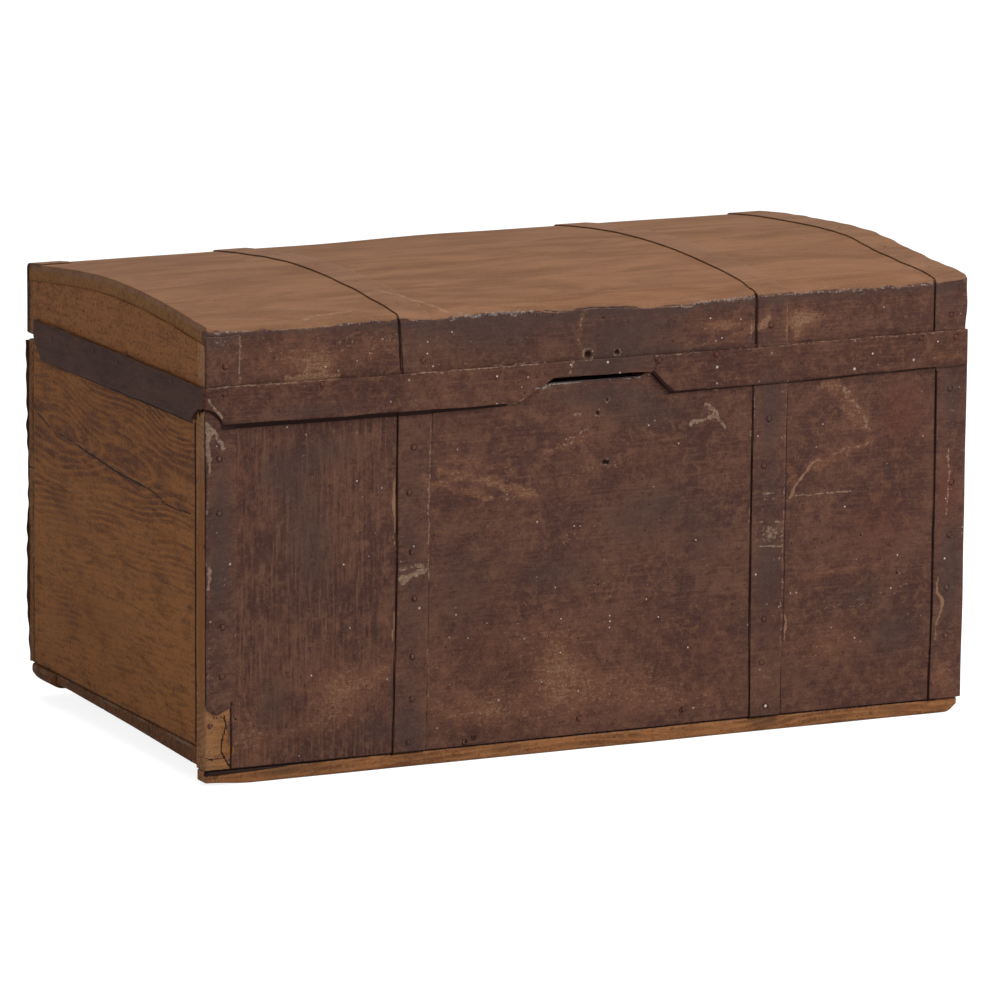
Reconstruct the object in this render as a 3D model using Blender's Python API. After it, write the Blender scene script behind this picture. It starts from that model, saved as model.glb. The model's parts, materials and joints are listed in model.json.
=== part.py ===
"""Metal-bound wooden chest with a low cambered lid.

Lengths are in metres and +Z is up. The origin is on the floor under the middle of the chest,
+X runs to the right along the front, and the front faces -Y. The case is nailed from boards,
the lid is coopered from staves, and iron straps bind both. The two straps that cross the lid
end in rolled knuckles at the back, where they hinge on the straps of the case.
"""
from math import cos, pi, radians, sin, sqrt, tan

import bmesh
import bpy
from mathutils import Matrix, Vector

# Air between two pieces that touch, and how far a cutter passes the piece that it cuts
GAP = 0.0003
OVERRUN = 0.002

# Case: outer size over the boards, board thicknesses, and the chamfer on the boards' edges
BOX_LENGTH = 0.823
BOX_DEPTH = 0.4445
CASE_TOP = 0.371
FRONT_T = 0.022
BACK_T = 0.0125
END_T = 0.020
ARRIS = 0.0012
BOARD_JOINT = 0.235
BACK_DROP = 0.0055

# Bottom: planks that run the length of the case, and the two runners that it stands on
PLANK_BOTTOM = 0.022
PLANK_T = 0.0135
PLANK_COUNT = 3
BACK_PLANK_T = 0.0165
BACK_PLANK_D = 0.070
BACK_PLANK_PROUD = 0.004
RUNNER_H = 0.0147
RUNNER_D = 0.0215
RUNNER_ROUND = 0.011
BACK_RUNNER_D = 0.056
BACK_RUNNER_INSET = 0.055

# Lid: height of its sides at the edge, rise of the crown, and the boards
LID_SIDE_H = 0.0735
CROWN = 0.0135
CROWN_STEPS = 28
EDGE_R = 0.005
STAVE_T = 0.0175
STAVE_JOINT_SHARES = (0.219, 0.433, 0.637, 0.881)
LID_FRONT_T = 0.020
LID_END_T = 0.020

# Straps: the same sheet iron on case and lid, at shares of the length from the left
SIDES = ("left", "right")
STRAP_W = 0.035
STRAP_T = 0.0012
STRAP_PLACE_SHARES = (0.265, 0.7345)

# Corner irons: the left one has lost its foot and its leg on the end
CORNER_LEFT_W = 0.031
CORNER_RIGHT_W = 0.0325
CORNER_WRAP = 0.028
TEAR_Z = 0.080
TEAR_H = 0.005
TEAR_SHARES = ((0, 0.35), (0.18, 0.1), (0.42, 0), (0.55, 0.25), (0.72, 0.3), (1, 1))
LID_CORNER_W = 0.034
LID_CORNER_DROP = 0.007
END_IRON_W = 0.035
END_IRON_FLANGE = 0.022
REAR_IRON_REACH = 0.030

# Rim band: it laps over the joint, and its lower edge has an arch and a hasp notch
RIM_W = 0.035
RIM_T = 0.0014
RIM_LAP = 0.0175
ARCH_RISE = 0.0155
ARCH_FRONT = 0.0175
ARCH_END = 0.027
ARCH_STEPS = 6
RIM_END_INSET = 0.021
RIM_TAPER_SHARES = ((0, 1), (0.5, 0.4), (1, 0))
RIM_TAPER_RUN = 0.022
RIM_TAPER_RISE = 0.0185
NOTCH_RISE = 0.018
NOTCH_LEFT = 0.083
NOTCH_RIGHT = 0.081
NOTCH_RUN_LEFT = 0.035
NOTCH_RUN_RIGHT = 0.020
SLOT_DEPTH = 0.0035
SLOT_RUN = 0.015
LOCK_PLATE_T = 0.0012

# Strap hinges: pin, the play round it, and the play between knuckles
PIN_R = 0.00225
PIN_PLAY = 0.0003
PIN_HEAD_R = 0.0034
PIN_HEAD_T = 0.0012
KNUCKLE_PLAY = 0.0005
KNUCKLE_CURL = radians(290)
KNUCKLE_STEPS = 14

# Nail holes: square, punched for cut nails
HOLE_W = 0.0026

# Places of the nail holes, measured from the edges of the irons
STRAP_NAIL_COUNT = 7
STRAP_NAIL_FOOT = 0.010
STRAP_NAIL_HEAD = 0.0555
CORNER_NAIL_FOOT = 0.015
CORNER_NAIL_HEAD = 0.040
TORN_NAIL_COUNT = 5
TORN_NAIL_FOOT = 0.027
TORN_NAIL_HEAD = 0.052
BACK_NAIL_COUNT = 5
BACK_NAIL_FOOT = 0.030
BACK_NAIL_HEAD = 0.045
RIM_NAIL_DROP = 0.006
RIM_NAIL_END = 0.016
RIM_NAIL_HALF_COUNT = 4
RIM_SIDE_NAIL_COUNT = 6
RIM_SIDE_NAIL_INSET = 0.045
STAVE_NAIL_SHARE = 0.4
LID_NAIL_RISE = 0.016

# Derived places. Iron stands IRON_OUT proud of the boards, and the rim band RIM_OUT, over the irons
IRON_OUT = GAP + STRAP_T
LIP_IN = IRON_OUT + GAP
RIM_OUT = LIP_IN + RIM_T
KNUCKLE_R = PIN_R + PIN_PLAY + STRAP_T
SHIFT = (RIM_OUT - GAP - 2 * KNUCKLE_R) / 2
LEFT, RIGHT = -BOX_LENGTH / 2, BOX_LENGTH / 2
FRONT, BACK = SHIFT - BOX_DEPTH / 2, SHIFT + BOX_DEPTH / 2
PLANK_TOP = PLANK_BOTTOM + PLANK_T
FRONT_BOTTOM = RUNNER_H + GAP
BOX_BOTTOM = PLANK_TOP + GAP
LID_BOTTOM = CASE_TOP + GAP
LOCK_PLATE_TOP = CASE_TOP - SLOT_DEPTH
DIP_LEFT = NOTCH_RUN_LEFT - NOTCH_LEFT
DIP_RIGHT = NOTCH_RIGHT - NOTCH_RUN_RIGHT - SLOT_RUN
LID_EDGE = CASE_TOP + LID_SIDE_H
RIM_BOTTOM = CASE_TOP - RIM_LAP
RIM_TOP = RIM_BOTTOM + RIM_W
AXIS = Vector((0, BACK + GAP + KNUCKLE_R, CASE_TOP))


def clear_scene():
    """Remove the objects that the scene holds."""
    for old in list(bpy.data.objects):
        bpy.data.objects.remove(old)


def material(name, colour, roughness, metallic=0.0):
    """A plain Principled finish."""
    finish = bpy.data.materials.new(name)
    finish.use_nodes = True
    shader = finish.node_tree.nodes["Principled BSDF"]
    shader.inputs["Base Color"].default_value = (*colour, 1)
    shader.inputs["Roughness"].default_value = roughness
    shader.inputs["Metallic"].default_value = metallic
    return finish


def evenly(first, last, steps):
    """steps + 1 values from first to last."""
    return [first + (last - first) * i / steps for i in range(steps + 1)]


def place(name, bm, finish):
    """Turn a bmesh into a named object with one material, its faces pointing out."""
    bmesh.ops.recalc_face_normals(bm, faces=bm.faces)
    mesh = bpy.data.meshes.new(name)
    bm.to_mesh(mesh)
    bm.free()
    mesh.materials.append(finish)
    piece = bpy.data.objects.new(name, mesh)
    bpy.context.scene.collection.objects.link(piece)
    return piece


def ease(piece, width=ARRIS):
    """Chamfer the sharp edges of a board."""
    bevel = piece.modifiers.new("arris", 'BEVEL')
    bevel.width = width
    bevel.segments = 1
    bevel.limit_method = 'ANGLE'
    bevel.angle_limit = radians(30)
    return piece


def cut(piece, cutter):
    """Take the cutter's volume out of a piece."""
    boolean = piece.modifiers.new("cut", 'BOOLEAN')
    boolean.operation = 'DIFFERENCE'
    boolean.solver = 'EXACT'
    boolean.object = cutter
    cutter.display_type = 'WIRE'
    cutter.hide_render = True


def box(name, low, high, finish):
    """A cuboid between two corners."""
    low, high = Vector(low), Vector(high)
    bm = bmesh.new()
    span = Matrix.Diagonal((*(high - low), 1))
    bmesh.ops.create_cube(bm, size=1, matrix=Matrix.Translation((low + high) / 2) @ span)
    return place(name, bm, finish)


def plate(name, outline, depth, finish):
    """Extrude a flat outline by the vector depth."""
    bm = bmesh.new()
    face = bm.faces.new([bm.verts.new(point) for point in outline])
    grown = bmesh.ops.extrude_face_region(bm, geom=[face])["geom"]
    corners = [item for item in grown if isinstance(item, bmesh.types.BMVert)]
    bmesh.ops.translate(bm, vec=Vector(depth), verts=corners)
    return place(name, bm, finish)


def sheet(name, rails, thickness, finish):
    """Sheet iron laid between rails, thickened to the side that (along rail) x (to next rail) faces.

    A rail may hold None where the sheet is narrower.
    """
    bm = bmesh.new()
    rows = [[point and bm.verts.new(point) for point in rail] for rail in rails]
    for row, following in zip(rows, rows[1:]):
        for i in range(len(row) - 1):
            corners = (row[i], row[i + 1], following[i + 1], following[i])
            if None not in corners:
                bm.faces.new(corners)
    mesh = bpy.data.meshes.new(name)
    bm.to_mesh(mesh)
    bm.free()
    mesh.materials.append(finish)
    piece = bpy.data.objects.new(name, mesh)
    bpy.context.scene.collection.objects.link(piece)
    solid = piece.modifiers.new("sheet", 'SOLIDIFY')
    solid.thickness = thickness
    solid.offset = 1
    solid.use_even_offset = True
    return piece


def offset(path, across, distance):
    """Move a flat path sideways, towards (along path) x across, keeping its corners mitred."""
    ways = [(b - a).cross(across).normalized() for a, b in zip(path, path[1:])]
    before, after = [ways[0], *ways], [*ways, ways[-1]]
    moved = []
    for point, a, b in zip(path, before, after):
        mitre = (a + b).normalized()
        moved.append(point + mitre * distance / mitre.dot(a))
    return moved


def fillet(before, corner, after, radius, steps=4):
    """Points of an arc that rounds the corner of a path."""
    to_a, to_b = (before - corner).normalized(), (after - corner).normalized()
    half = to_a.angle(to_b) / 2
    centre = corner + (to_a + to_b).normalized() * radius / sin(half)
    start = corner + to_a * radius / tan(half) - centre
    end = corner + to_b * radius / tan(half) - centre
    return [centre + radius * start.slerp(end, i / steps) for i in range(steps + 1)]


def crown_radius():
    """Radius of the arc that rises by CROWN over the depth of the box."""
    return (BOX_DEPTH ** 2 / 4 + CROWN ** 2) / (2 * CROWN)


def crown(y, depth=0.0):
    """Height of the lid's top at y, or of the surface that runs parallel, depth below it."""
    radius = crown_radius()
    return LID_EDGE + CROWN - radius + sqrt((radius - depth) ** 2 - (y - SHIFT) ** 2)


def lid_outline():
    """Outer faces of the lid's boards, from the front joint over the crown to the back joint."""
    foot, heel = Vector((0, FRONT, LID_BOTTOM)), Vector((0, BACK, LID_BOTTOM))
    top = [Vector((0, y, crown(y)))
           for y in evenly(FRONT + 2 * EDGE_R, BACK - 2 * EDGE_R, CROWN_STEPS)]
    edge, back_edge = Vector((0, FRONT, crown(FRONT))), Vector((0, BACK, crown(BACK)))
    return [foot, *fillet(foot, edge, top[0], EDGE_R), *top,
            *fillet(top[-1], back_edge, heel, EDGE_R), heel]


def curl(start, stop):
    """Outer face of a rolled knuckle, from one angle round the hinge axis to another."""
    return [AXIS + KNUCKLE_R * Vector((0, cos(a), sin(a)))
            for a in evenly(start, stop, KNUCKLE_STEPS)]


def strap_middle(side):
    """X of the middle of the left or right strap."""
    return LEFT + STRAP_PLACE_SHARES[SIDES.index(side)] * BOX_LENGTH


def swept(path, low_x, high_x):
    """Two rails of a strip that follows a path in the YZ plane, ready to thicken outwards."""
    return [[Vector((x, point.y, point.z)) for point in path] for x in (high_x, low_x)]


# Case boards and bottom

def front_board_upper(finish):
    """The upper board of the front, dipped for the lock plate."""
    low, dip = BOARD_JOINT + GAP, LOCK_PLATE_TOP - LOCK_PLATE_T - GAP
    outline = [(LEFT, low), (RIGHT, low), (RIGHT, CASE_TOP), (DIP_RIGHT + SLOT_RUN, CASE_TOP),
               (DIP_RIGHT, dip), (DIP_LEFT, dip), (DIP_LEFT - SLOT_RUN, CASE_TOP),
               (LEFT, CASE_TOP)]
    points = [(x, FRONT, z) for x, z in outline]
    return ease(plate("front_board_upper", points, (0, FRONT_T, 0), finish))


def lock_plate(finish):
    """Top plate of the lock, let in to the edge of the front board."""
    return box("lock_plate", (DIP_LEFT + GAP, FRONT, LOCK_PLATE_TOP - LOCK_PLATE_T),
               (DIP_RIGHT - GAP, FRONT + FRONT_T, LOCK_PLATE_TOP), finish)


def case_boards(painted, raw):
    """Front and back, each of two boards, and the end boards that stand between them."""
    back_face = BACK - BACK_T
    inner, outer = FRONT + FRONT_T + GAP, back_face - GAP
    boards = [
        front_board_upper(painted),
        ease(box("front_board_lower", (LEFT, FRONT, FRONT_BOTTOM),
                 (RIGHT, FRONT + FRONT_T, BOARD_JOINT), painted)),
        ease(box("back_board_upper", (LEFT, back_face, BOARD_JOINT + GAP),
                 (RIGHT, BACK, CASE_TOP - BACK_DROP), raw)),
        ease(box("back_board_lower", (LEFT, back_face, BOX_BOTTOM),
                 (RIGHT, BACK, BOARD_JOINT), raw)),
        ease(box("left_end_board", (LEFT, inner, BOX_BOTTOM),
                 (LEFT + END_T, outer, CASE_TOP), raw)),
        ease(box("right_end_board", (RIGHT - END_T, inner, BOX_BOTTOM),
                 (RIGHT, outer, CASE_TOP), raw)),
    ]
    return boards


def bottom_planks(finish):
    """Planks side by side between the front board and the thicker plank under the back board."""
    back_edge = BACK - BACK_PLANK_D
    edges = evenly(FRONT + FRONT_T + GAP, back_edge, PLANK_COUNT)
    planks = []
    for i, (near, far) in enumerate(zip(edges, edges[1:])):
        low, high = (LEFT, near, PLANK_BOTTOM), (RIGHT, far - GAP, PLANK_TOP)
        planks.append(ease(box(f"bottom_plank_{i + 1}", low, high, finish)))
    low = (LEFT - BACK_PLANK_PROUD, back_edge, PLANK_TOP - BACK_PLANK_T)
    planks.append(ease(box("bottom_plank_back", low, (RIGHT, BACK, PLANK_TOP), finish)))
    return planks


def runner(name, half_length, near, far, height, finish):
    """A strip that the case stands on, its two lower ends rounded by wear."""
    top_left, top_right = Vector((-half_length, near, height)), Vector((half_length, near, height))
    foot_left, foot_right = Vector((-half_length, near, 0)), Vector((half_length, near, 0))
    outline = [top_left, *fillet(top_left, foot_left, foot_right, RUNNER_ROUND),
               *fillet(foot_left, foot_right, top_right, RUNNER_ROUND), top_right]
    return plate(name, outline, (0, far - near, 0), finish)


def runners(finish):
    """The narrow runner under the front board and the set-in runner under the back plank."""
    back_top = PLANK_TOP - BACK_PLANK_T - GAP
    return [runner("front_runner", RIGHT, FRONT, FRONT + RUNNER_D, RUNNER_H, finish),
            runner("back_runner", RIGHT - BACK_RUNNER_INSET, BACK - BACK_RUNNER_D, BACK,
                   back_top, finish)]


# Lid boards

def lid_boards(painted, raw):
    """Front, back and end boards of the lid, their top edges under the staves."""
    def rail(y_from, y_to, steps):
        return [(y, crown(y, STAVE_T) - GAP) for y in evenly(y_from, y_to, steps)]

    def board(name, near, far, left, right, steps, finish):
        top = rail(near, far, steps)
        outline = [(left, near, LID_BOTTOM), *[(left, y, z) for y, z in top],
                   (left, far, LID_BOTTOM)]
        return ease(plate(name, outline, (right - left, 0, 0), finish))

    inner, outer = FRONT + LID_FRONT_T + GAP, BACK - BACK_T - GAP
    return [
        board("lid_front_board", FRONT, FRONT + LID_FRONT_T, LEFT, RIGHT, 1, painted),
        board("lid_back_board", BACK - BACK_T, BACK, LEFT, RIGHT, 1, raw),
        board("lid_left_end_board", inner, outer, LEFT, LEFT + LID_END_T, CROWN_STEPS, raw),
        board("lid_right_end_board", inner, outer, RIGHT - LID_END_T, RIGHT, CROWN_STEPS, raw),
    ]


def stave_edges():
    """Y of the joints between staves, with the front and back faces of the lid."""
    return [FRONT, *[FRONT + share * BOX_DEPTH for share in STAVE_JOINT_SHARES], BACK]


def staves(finish):
    """Boards that run the length of the lid and make its crown, the outer two with round arrises."""
    edges = stave_edges()
    made = []
    for i, (near, far) in enumerate(zip(edges, edges[1:])):
        near, far = near + (GAP / 2 if i else 0), far - (GAP / 2 if far < BACK else 0)
        steps = max(2, round(CROWN_STEPS * (far - near) / BOX_DEPTH))
        ys = evenly(near, far, steps)
        over = [Vector((LEFT, y, crown(y))) for y in ys]
        under = [Vector((LEFT, y, crown(y, STAVE_T))) for y in reversed(ys)]
        if near == FRONT:
            over[:1] = fillet(under[-1], over[0], over[1], EDGE_R)
        if far == BACK:
            over[-1:] = fillet(over[-2], over[-1], under[0], EDGE_R)
        made.append(plate(f"lid_stave_{i + 1}", over + under, (BOX_LENGTH, 0, 0), finish))
    return made


# Ironwork

def case_strap(side, finish):
    """Flat strap up the front of the case, from its foot to under the rim band's lip."""
    low_x, high_x = strap_middle(side) - STRAP_W / 2, strap_middle(side) + STRAP_W / 2
    path = [Vector((0, FRONT - GAP, z)) for z in (FRONT_BOTTOM, CASE_TOP - GAP)]
    return sheet(f"front_strap_{side}", swept(path, low_x, high_x), STRAP_T, finish)


def knuckle_cutter(name, spans, low_z, high_z, steel):
    """Boxes that clear the other leaf's knuckles, one for each span of X."""
    bm = bmesh.new()
    for low_x, high_x in spans:
        low = Vector((low_x, BACK - OVERRUN, low_z))
        high = Vector((high_x, AXIS.y + KNUCKLE_R + OVERRUN, high_z))
        span = Matrix.Diagonal((*(high - low), 1))
        bmesh.ops.create_cube(bm, size=1, matrix=Matrix.Translation((low + high) / 2) @ span)
    return place(name, bm, steel)


def hinge_straps(side, finish):
    """The lid's strap and the back strap of the case, with knuckles rolled round one axis."""
    middle = strap_middle(side)
    low_x, high_x = middle - STRAP_W / 2, middle + STRAP_W / 2
    third, play = STRAP_W / 6, KNUCKLE_PLAY / 2
    reach = KNUCKLE_R + KNUCKLE_PLAY
    across = Vector((-1, 0, 0))
    over = offset(lid_outline(), across, GAP)[:-1] + curl(pi, pi + KNUCKLE_CURL)
    lid_leaf = sheet(f"lid_strap_{side}", swept(over, low_x, high_x), STRAP_T, finish)
    sides = [(low_x - OVERRUN, middle - third + play), (middle + third - play, high_x + OVERRUN)]
    cut(lid_leaf, knuckle_cutter(f"lid_knuckle_cutter_{side}", sides,
                                 AXIS.z - reach, AXIS.z + reach, finish))
    heel = Vector((0, BACK + GAP, BOX_BOTTOM))
    down = [*curl(pi - KNUCKLE_CURL, pi), heel]
    case_leaf = sheet(f"back_strap_{side}", swept(down, low_x, high_x), STRAP_T, finish)
    cut(case_leaf, knuckle_cutter(f"case_knuckle_cutter_{side}",
                                  [(middle - third - play, middle + third + play)],
                                  AXIS.z - reach, AXIS.z + reach, finish))
    return lid_leaf, case_leaf


def hinge_pin(side, finish):
    """A riveted pin through the knuckles, turned round the hinge axis."""
    half = STRAP_W / 2 + GAP
    end = half + PIN_HEAD_T
    profile = [(-end, 0), (-end, PIN_HEAD_R), (-half, PIN_HEAD_R), (-half, PIN_R),
               (half, PIN_R), (half, PIN_HEAD_R), (end, PIN_HEAD_R), (end, 0)]
    centre = AXIS + Vector((strap_middle(side), 0, 0))
    bm = bmesh.new()
    verts = [bm.verts.new(centre + Vector((x, r, 0))) for x, r in profile]
    edges = [bm.edges.new(pair) for pair in zip(verts, verts[1:])]
    bmesh.ops.spin(bm, geom=verts + edges, cent=centre, axis=(1, 0, 0), angle=2 * pi, steps=12,
                   use_merge=True)
    bmesh.ops.remove_doubles(bm, verts=bm.verts, dist=PIN_R / 100)
    pin = place(f"hinge_pin_{side}", bm, finish)
    pin.data.shade_smooth()
    pin.data.set_sharp_from_angle(angle=radians(40))
    return pin


def corner_iron(name, y, to_end, low_z, high_z, finish):
    """Angle iron on a right-hand corner: one leg on the front or back, one on the right end."""
    corner = Vector((RIGHT + GAP, y, low_z))
    path = [corner - Vector((CORNER_RIGHT_W, 0, 0)), corner, corner + Vector((0, to_end, 0))]
    if to_end < 0:
        path.reverse()
    top = [Vector((p.x, p.y, high_z)) for p in path]
    return sheet(name, [path, top], STRAP_T, finish)


def corner_irons(finish):
    """Angle irons on the right, and on the left a torn flat one in front and a whole one behind."""
    width = CORNER_LEFT_W
    torn = [Vector((LEFT + x * width, FRONT - GAP, TEAR_Z - TEAR_H + z * TEAR_H))
            for x, z in TEAR_SHARES]
    level = [Vector((p.x, p.y, CASE_TOP - GAP)) for p in torn]
    back_top = CASE_TOP - BACK_DROP
    back_left = [[Vector((x, BACK + GAP, z)) for x in (LEFT + width, LEFT)]
                 for z in (BOX_BOTTOM, back_top)]
    return [
        sheet("front_corner_iron_left", [torn, level], STRAP_T, finish),
        corner_iron("front_corner_iron_right", FRONT - GAP, CORNER_WRAP, FRONT_BOTTOM,
                    CASE_TOP - GAP, finish),
        sheet("back_corner_iron_left", back_left, STRAP_T, finish),
        corner_iron("back_corner_iron_right", BACK + GAP, -CORNER_WRAP, BOX_BOTTOM,
                    back_top, finish),
    ]


def lid_corner_iron(finish):
    """What is left of the lid's left end iron: a flat piece on the front, under the rim band."""
    ends = (LEFT, LEFT + LID_CORNER_W)
    rails = [[Vector((x, FRONT - GAP, z)) for x in ends]
             for z in (LID_BOTTOM, LID_EDGE - LID_CORNER_DROP)]
    return sheet("lid_corner_iron_left", rails, STRAP_T, finish)


def lid_end_iron(finish):
    """Angle iron round the lid's right end: down front and back, with a flange below the crown."""
    across = Vector((-1, 0, 0))
    path = offset(lid_outline(), across, GAP)
    path[-1].z = LID_BOTTOM
    inner = RIGHT + GAP - END_IRON_W
    flange = []
    for point in path:
        on_top = FRONT < point.y < BACK
        drop = crown(point.y) - END_IRON_FLANGE if on_top else 0
        flange.append(Vector((RIGHT + GAP, point.y, drop)) if on_top else None)
    corner, edge = swept(path, inner, RIGHT + GAP)
    return sheet("lid_end_iron_right", [flange, corner, edge], STRAP_T, finish)


def lid_rear_iron(finish):
    """What is left of the left end iron behind: from the top over the back edge and down."""
    across = Vector((-1, 0, 0))
    path = offset(lid_outline(), across, GAP)
    path[-1].z = LID_BOTTOM
    rear = [point for point in path if point.y > BACK - REAR_IRON_REACH]
    rear.insert(0, Vector((0, BACK - REAR_IRON_REACH, crown(BACK - REAR_IRON_REACH) + GAP)))
    return sheet("lid_rear_iron_left", swept(rear, LEFT, LEFT + LID_CORNER_W), STRAP_T, finish)


def rim_bottom(along_front, along_left):
    """Height of the rim band's lower edge, by X on the front and by distance back on the left end."""
    if along_left is not None:
        share = min(1, along_left / ARCH_END)
        return RIM_BOTTOM + ARCH_RISE * sqrt(1 - share ** 2)
    share = min(1, (along_front - LEFT + LIP_IN) / ARCH_FRONT)
    rise = ARCH_RISE * sqrt(1 - share ** 2)
    if -NOTCH_LEFT < along_front < NOTCH_RIGHT:
        rise = NOTCH_RISE
    return RIM_BOTTOM + rise


def rim_band(finish):
    """Band round the lid's front and ends, lapping over the case, bent at two sharp corners."""
    near, far = FRONT - LIP_IN, BACK - RIM_END_INSET
    left, right = LEFT - LIP_IN, RIGHT + LIP_IN
    arch = [sin(pi / 2 * i / ARCH_STEPS) for i in range(ARCH_STEPS + 1)]
    taper = [(far - run * RIM_TAPER_RUN, RIM_BOTTOM + rise * RIM_TAPER_RISE)
             for run, rise in RIM_TAPER_SHARES]
    lower = [Vector((left, y, z)) for y, z in taper]
    lower += [Vector((left, near + s * ARCH_END, rim_bottom(None, s * ARCH_END)))
              for s in reversed(arch)]
    lower += [Vector((left + s * ARCH_FRONT, near, rim_bottom(left + s * ARCH_FRONT, None)))
              for s in arch[1:]]
    notch = [-NOTCH_LEFT, NOTCH_RUN_LEFT - NOTCH_LEFT, NOTCH_RIGHT - NOTCH_RUN_RIGHT, NOTCH_RIGHT]
    lower += [Vector((x, near, rim_bottom(x, None))) for x in notch]
    lower.append(Vector((right, near, RIM_BOTTOM)))
    lower += [Vector((right, y, z)) for y, z in reversed(taper)]
    upper = [Vector((p.x, p.y, RIM_TOP)) for p in lower]
    return sheet("rim_band", [lower, upper], RIM_T, finish)


# Nail holes

def hole(point, outward):
    """Frame of a hole through the irons that lie outside a point of the boards."""
    turn = Vector(outward).to_track_quat('Z', 'X').to_matrix().to_4x4()
    return Matrix.Translation(Vector(point)) @ turn


def front_holes(x, heights):
    """Holes up the front at one X."""
    return [hole((x, FRONT, z), (0, -1, 0)) for z in heights]


def back_holes(x, heights):
    """Holes up the back at one X."""
    return [hole((x, BACK, z), (0, 1, 0)) for z in heights]


def crown_holes(x):
    """Holes over the crown at one X, one for each stave."""
    edges = stave_edges()
    places = [a + STAVE_NAIL_SHARE * (b - a) for a, b in zip(edges, edges[1:])]
    radius = crown_radius()
    return [hole((x, y, crown(y)), (0, (y - SHIFT) / radius, 1)) for y in places]


def rim_holes():
    """Holes along the rim band's front, but not over the hasp notch, and along its two ends."""
    height = RIM_TOP - RIM_NAIL_DROP
    xs = evenly(LEFT + RIM_NAIL_END, RIGHT - RIM_NAIL_END, 2 * RIM_NAIL_HALF_COUNT)
    del xs[RIM_NAIL_HALF_COUNT]
    holes = [hole((x, FRONT, height), (0, -1, 0)) for x in xs]
    for y in evenly(FRONT + RIM_SIDE_NAIL_INSET, BACK - RIM_SIDE_NAIL_INSET,
                    RIM_SIDE_NAIL_COUNT - 1):
        holes += [hole((LEFT, y, height), (-1, 0, 0)), hole((RIGHT, y, height), (1, 0, 0))]
    return holes


def case_holes():
    """Holes in the irons of the case: straps and corner irons, front and back."""
    strap_z = evenly(FRONT_BOTTOM + STRAP_NAIL_FOOT, CASE_TOP - STRAP_NAIL_HEAD,
                     STRAP_NAIL_COUNT - 1)
    corner_z = evenly(FRONT_BOTTOM + CORNER_NAIL_FOOT, CASE_TOP - CORNER_NAIL_HEAD,
                      STRAP_NAIL_COUNT - 1)
    torn_z = evenly(TEAR_Z + TORN_NAIL_FOOT, CASE_TOP - TORN_NAIL_HEAD, TORN_NAIL_COUNT - 1)
    back_z = evenly(BOX_BOTTOM + BACK_NAIL_FOOT, CASE_TOP - BACK_NAIL_HEAD, BACK_NAIL_COUNT - 1)
    left_x, right_x = LEFT + CORNER_LEFT_W / 2, RIGHT - CORNER_RIGHT_W / 2
    holes = front_holes(left_x, torn_z) + front_holes(right_x, corner_z)
    holes += back_holes(left_x, back_z) + back_holes(right_x, back_z)
    for side in SIDES:
        holes += front_holes(strap_middle(side), strap_z) + back_holes(strap_middle(side), back_z)
    return holes


def lid_holes():
    """Holes in the irons of the lid: straps, end irons and rim band."""
    height = RIM_TOP + LID_NAIL_RISE
    xs = [strap_middle(side) for side in SIDES] + [RIGHT - END_IRON_W / 2]
    holes = rim_holes() + front_holes(LEFT + LID_CORNER_W / 2, [height])
    for x in xs:
        holes += front_holes(x, [height]) + crown_holes(x) + back_holes(x, [height])
    return holes


def punch(name, holes, irons, finish):
    """Punch square holes through irons."""
    reach = RIM_OUT + OVERRUN
    bm = bmesh.new()
    for frame in holes:
        size = Matrix.Diagonal((HOLE_W, HOLE_W, reach, 1))
        middle = Matrix.Translation((0, 0, reach / 2))
        bmesh.ops.create_cube(bm, size=1, matrix=frame @ middle @ size)
    cutter = place(name, bm, finish)
    for iron in irons:
        cut(iron, cutter)


def hang(pieces):
    """Give the lid's pieces one parent on the hinge axis."""
    hinge = bpy.data.objects.new("lid_hinge_axis", None)
    hinge.location = AXIS
    bpy.context.scene.collection.objects.link(hinge)
    for piece in pieces:
        piece.parent = hinge
        piece.matrix_parent_inverse = Matrix.Translation(-AXIS)


def main():
    clear_scene()
    painted = material("red_brown_paint", (0.115, 0.055, 0.042), 0.55)
    raw = material("bare_wood", (0.33, 0.17, 0.075), 0.7)
    top = material("worn_top", (0.30, 0.155, 0.085), 0.5)
    pale = material("pale_strip", (0.50, 0.30, 0.14), 0.65)
    iron = material("painted_iron", (0.085, 0.048, 0.042), 0.5, 0.3)
    bare = material("dark_iron", (0.05, 0.042, 0.045), 0.45, 0.8)

    case_boards(painted, raw)
    bottom_planks(raw)
    runners(pale)
    lock_plate(bare)
    wood = lid_boards(painted, raw) + staves(top)
    case_irons = [case_strap(side, iron) for side in SIDES] + corner_irons(iron)
    lid_irons = [lid_corner_iron(iron), lid_rear_iron(iron), lid_end_iron(iron), rim_band(iron)]
    for side in SIDES:
        lid_leaf, case_leaf = hinge_straps(side, iron)
        lid_irons.append(lid_leaf)
        case_irons.append(case_leaf)
        hinge_pin(side, bare)
    punch("case_iron_holes", case_holes(), case_irons, bare)
    punch("lid_iron_holes", lid_holes(), lid_irons, bare)
    hang(wood + lid_irons)


main()
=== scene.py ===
# %% [markdown]
# # A metal-bound chest, dressed
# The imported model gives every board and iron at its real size. This file lays a worn surface
# over each of them: boards whose arrises have rounded, irons that have gone wavy, paint that
# has rubbed through to the wood, and the scratches, holes and stains that years leave.

# %% Load the frame
import json
from math import atan2, cos, pi, radians, sin, sqrt

import bpy
import numpy as np
from mathutils import Matrix, Vector


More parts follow.
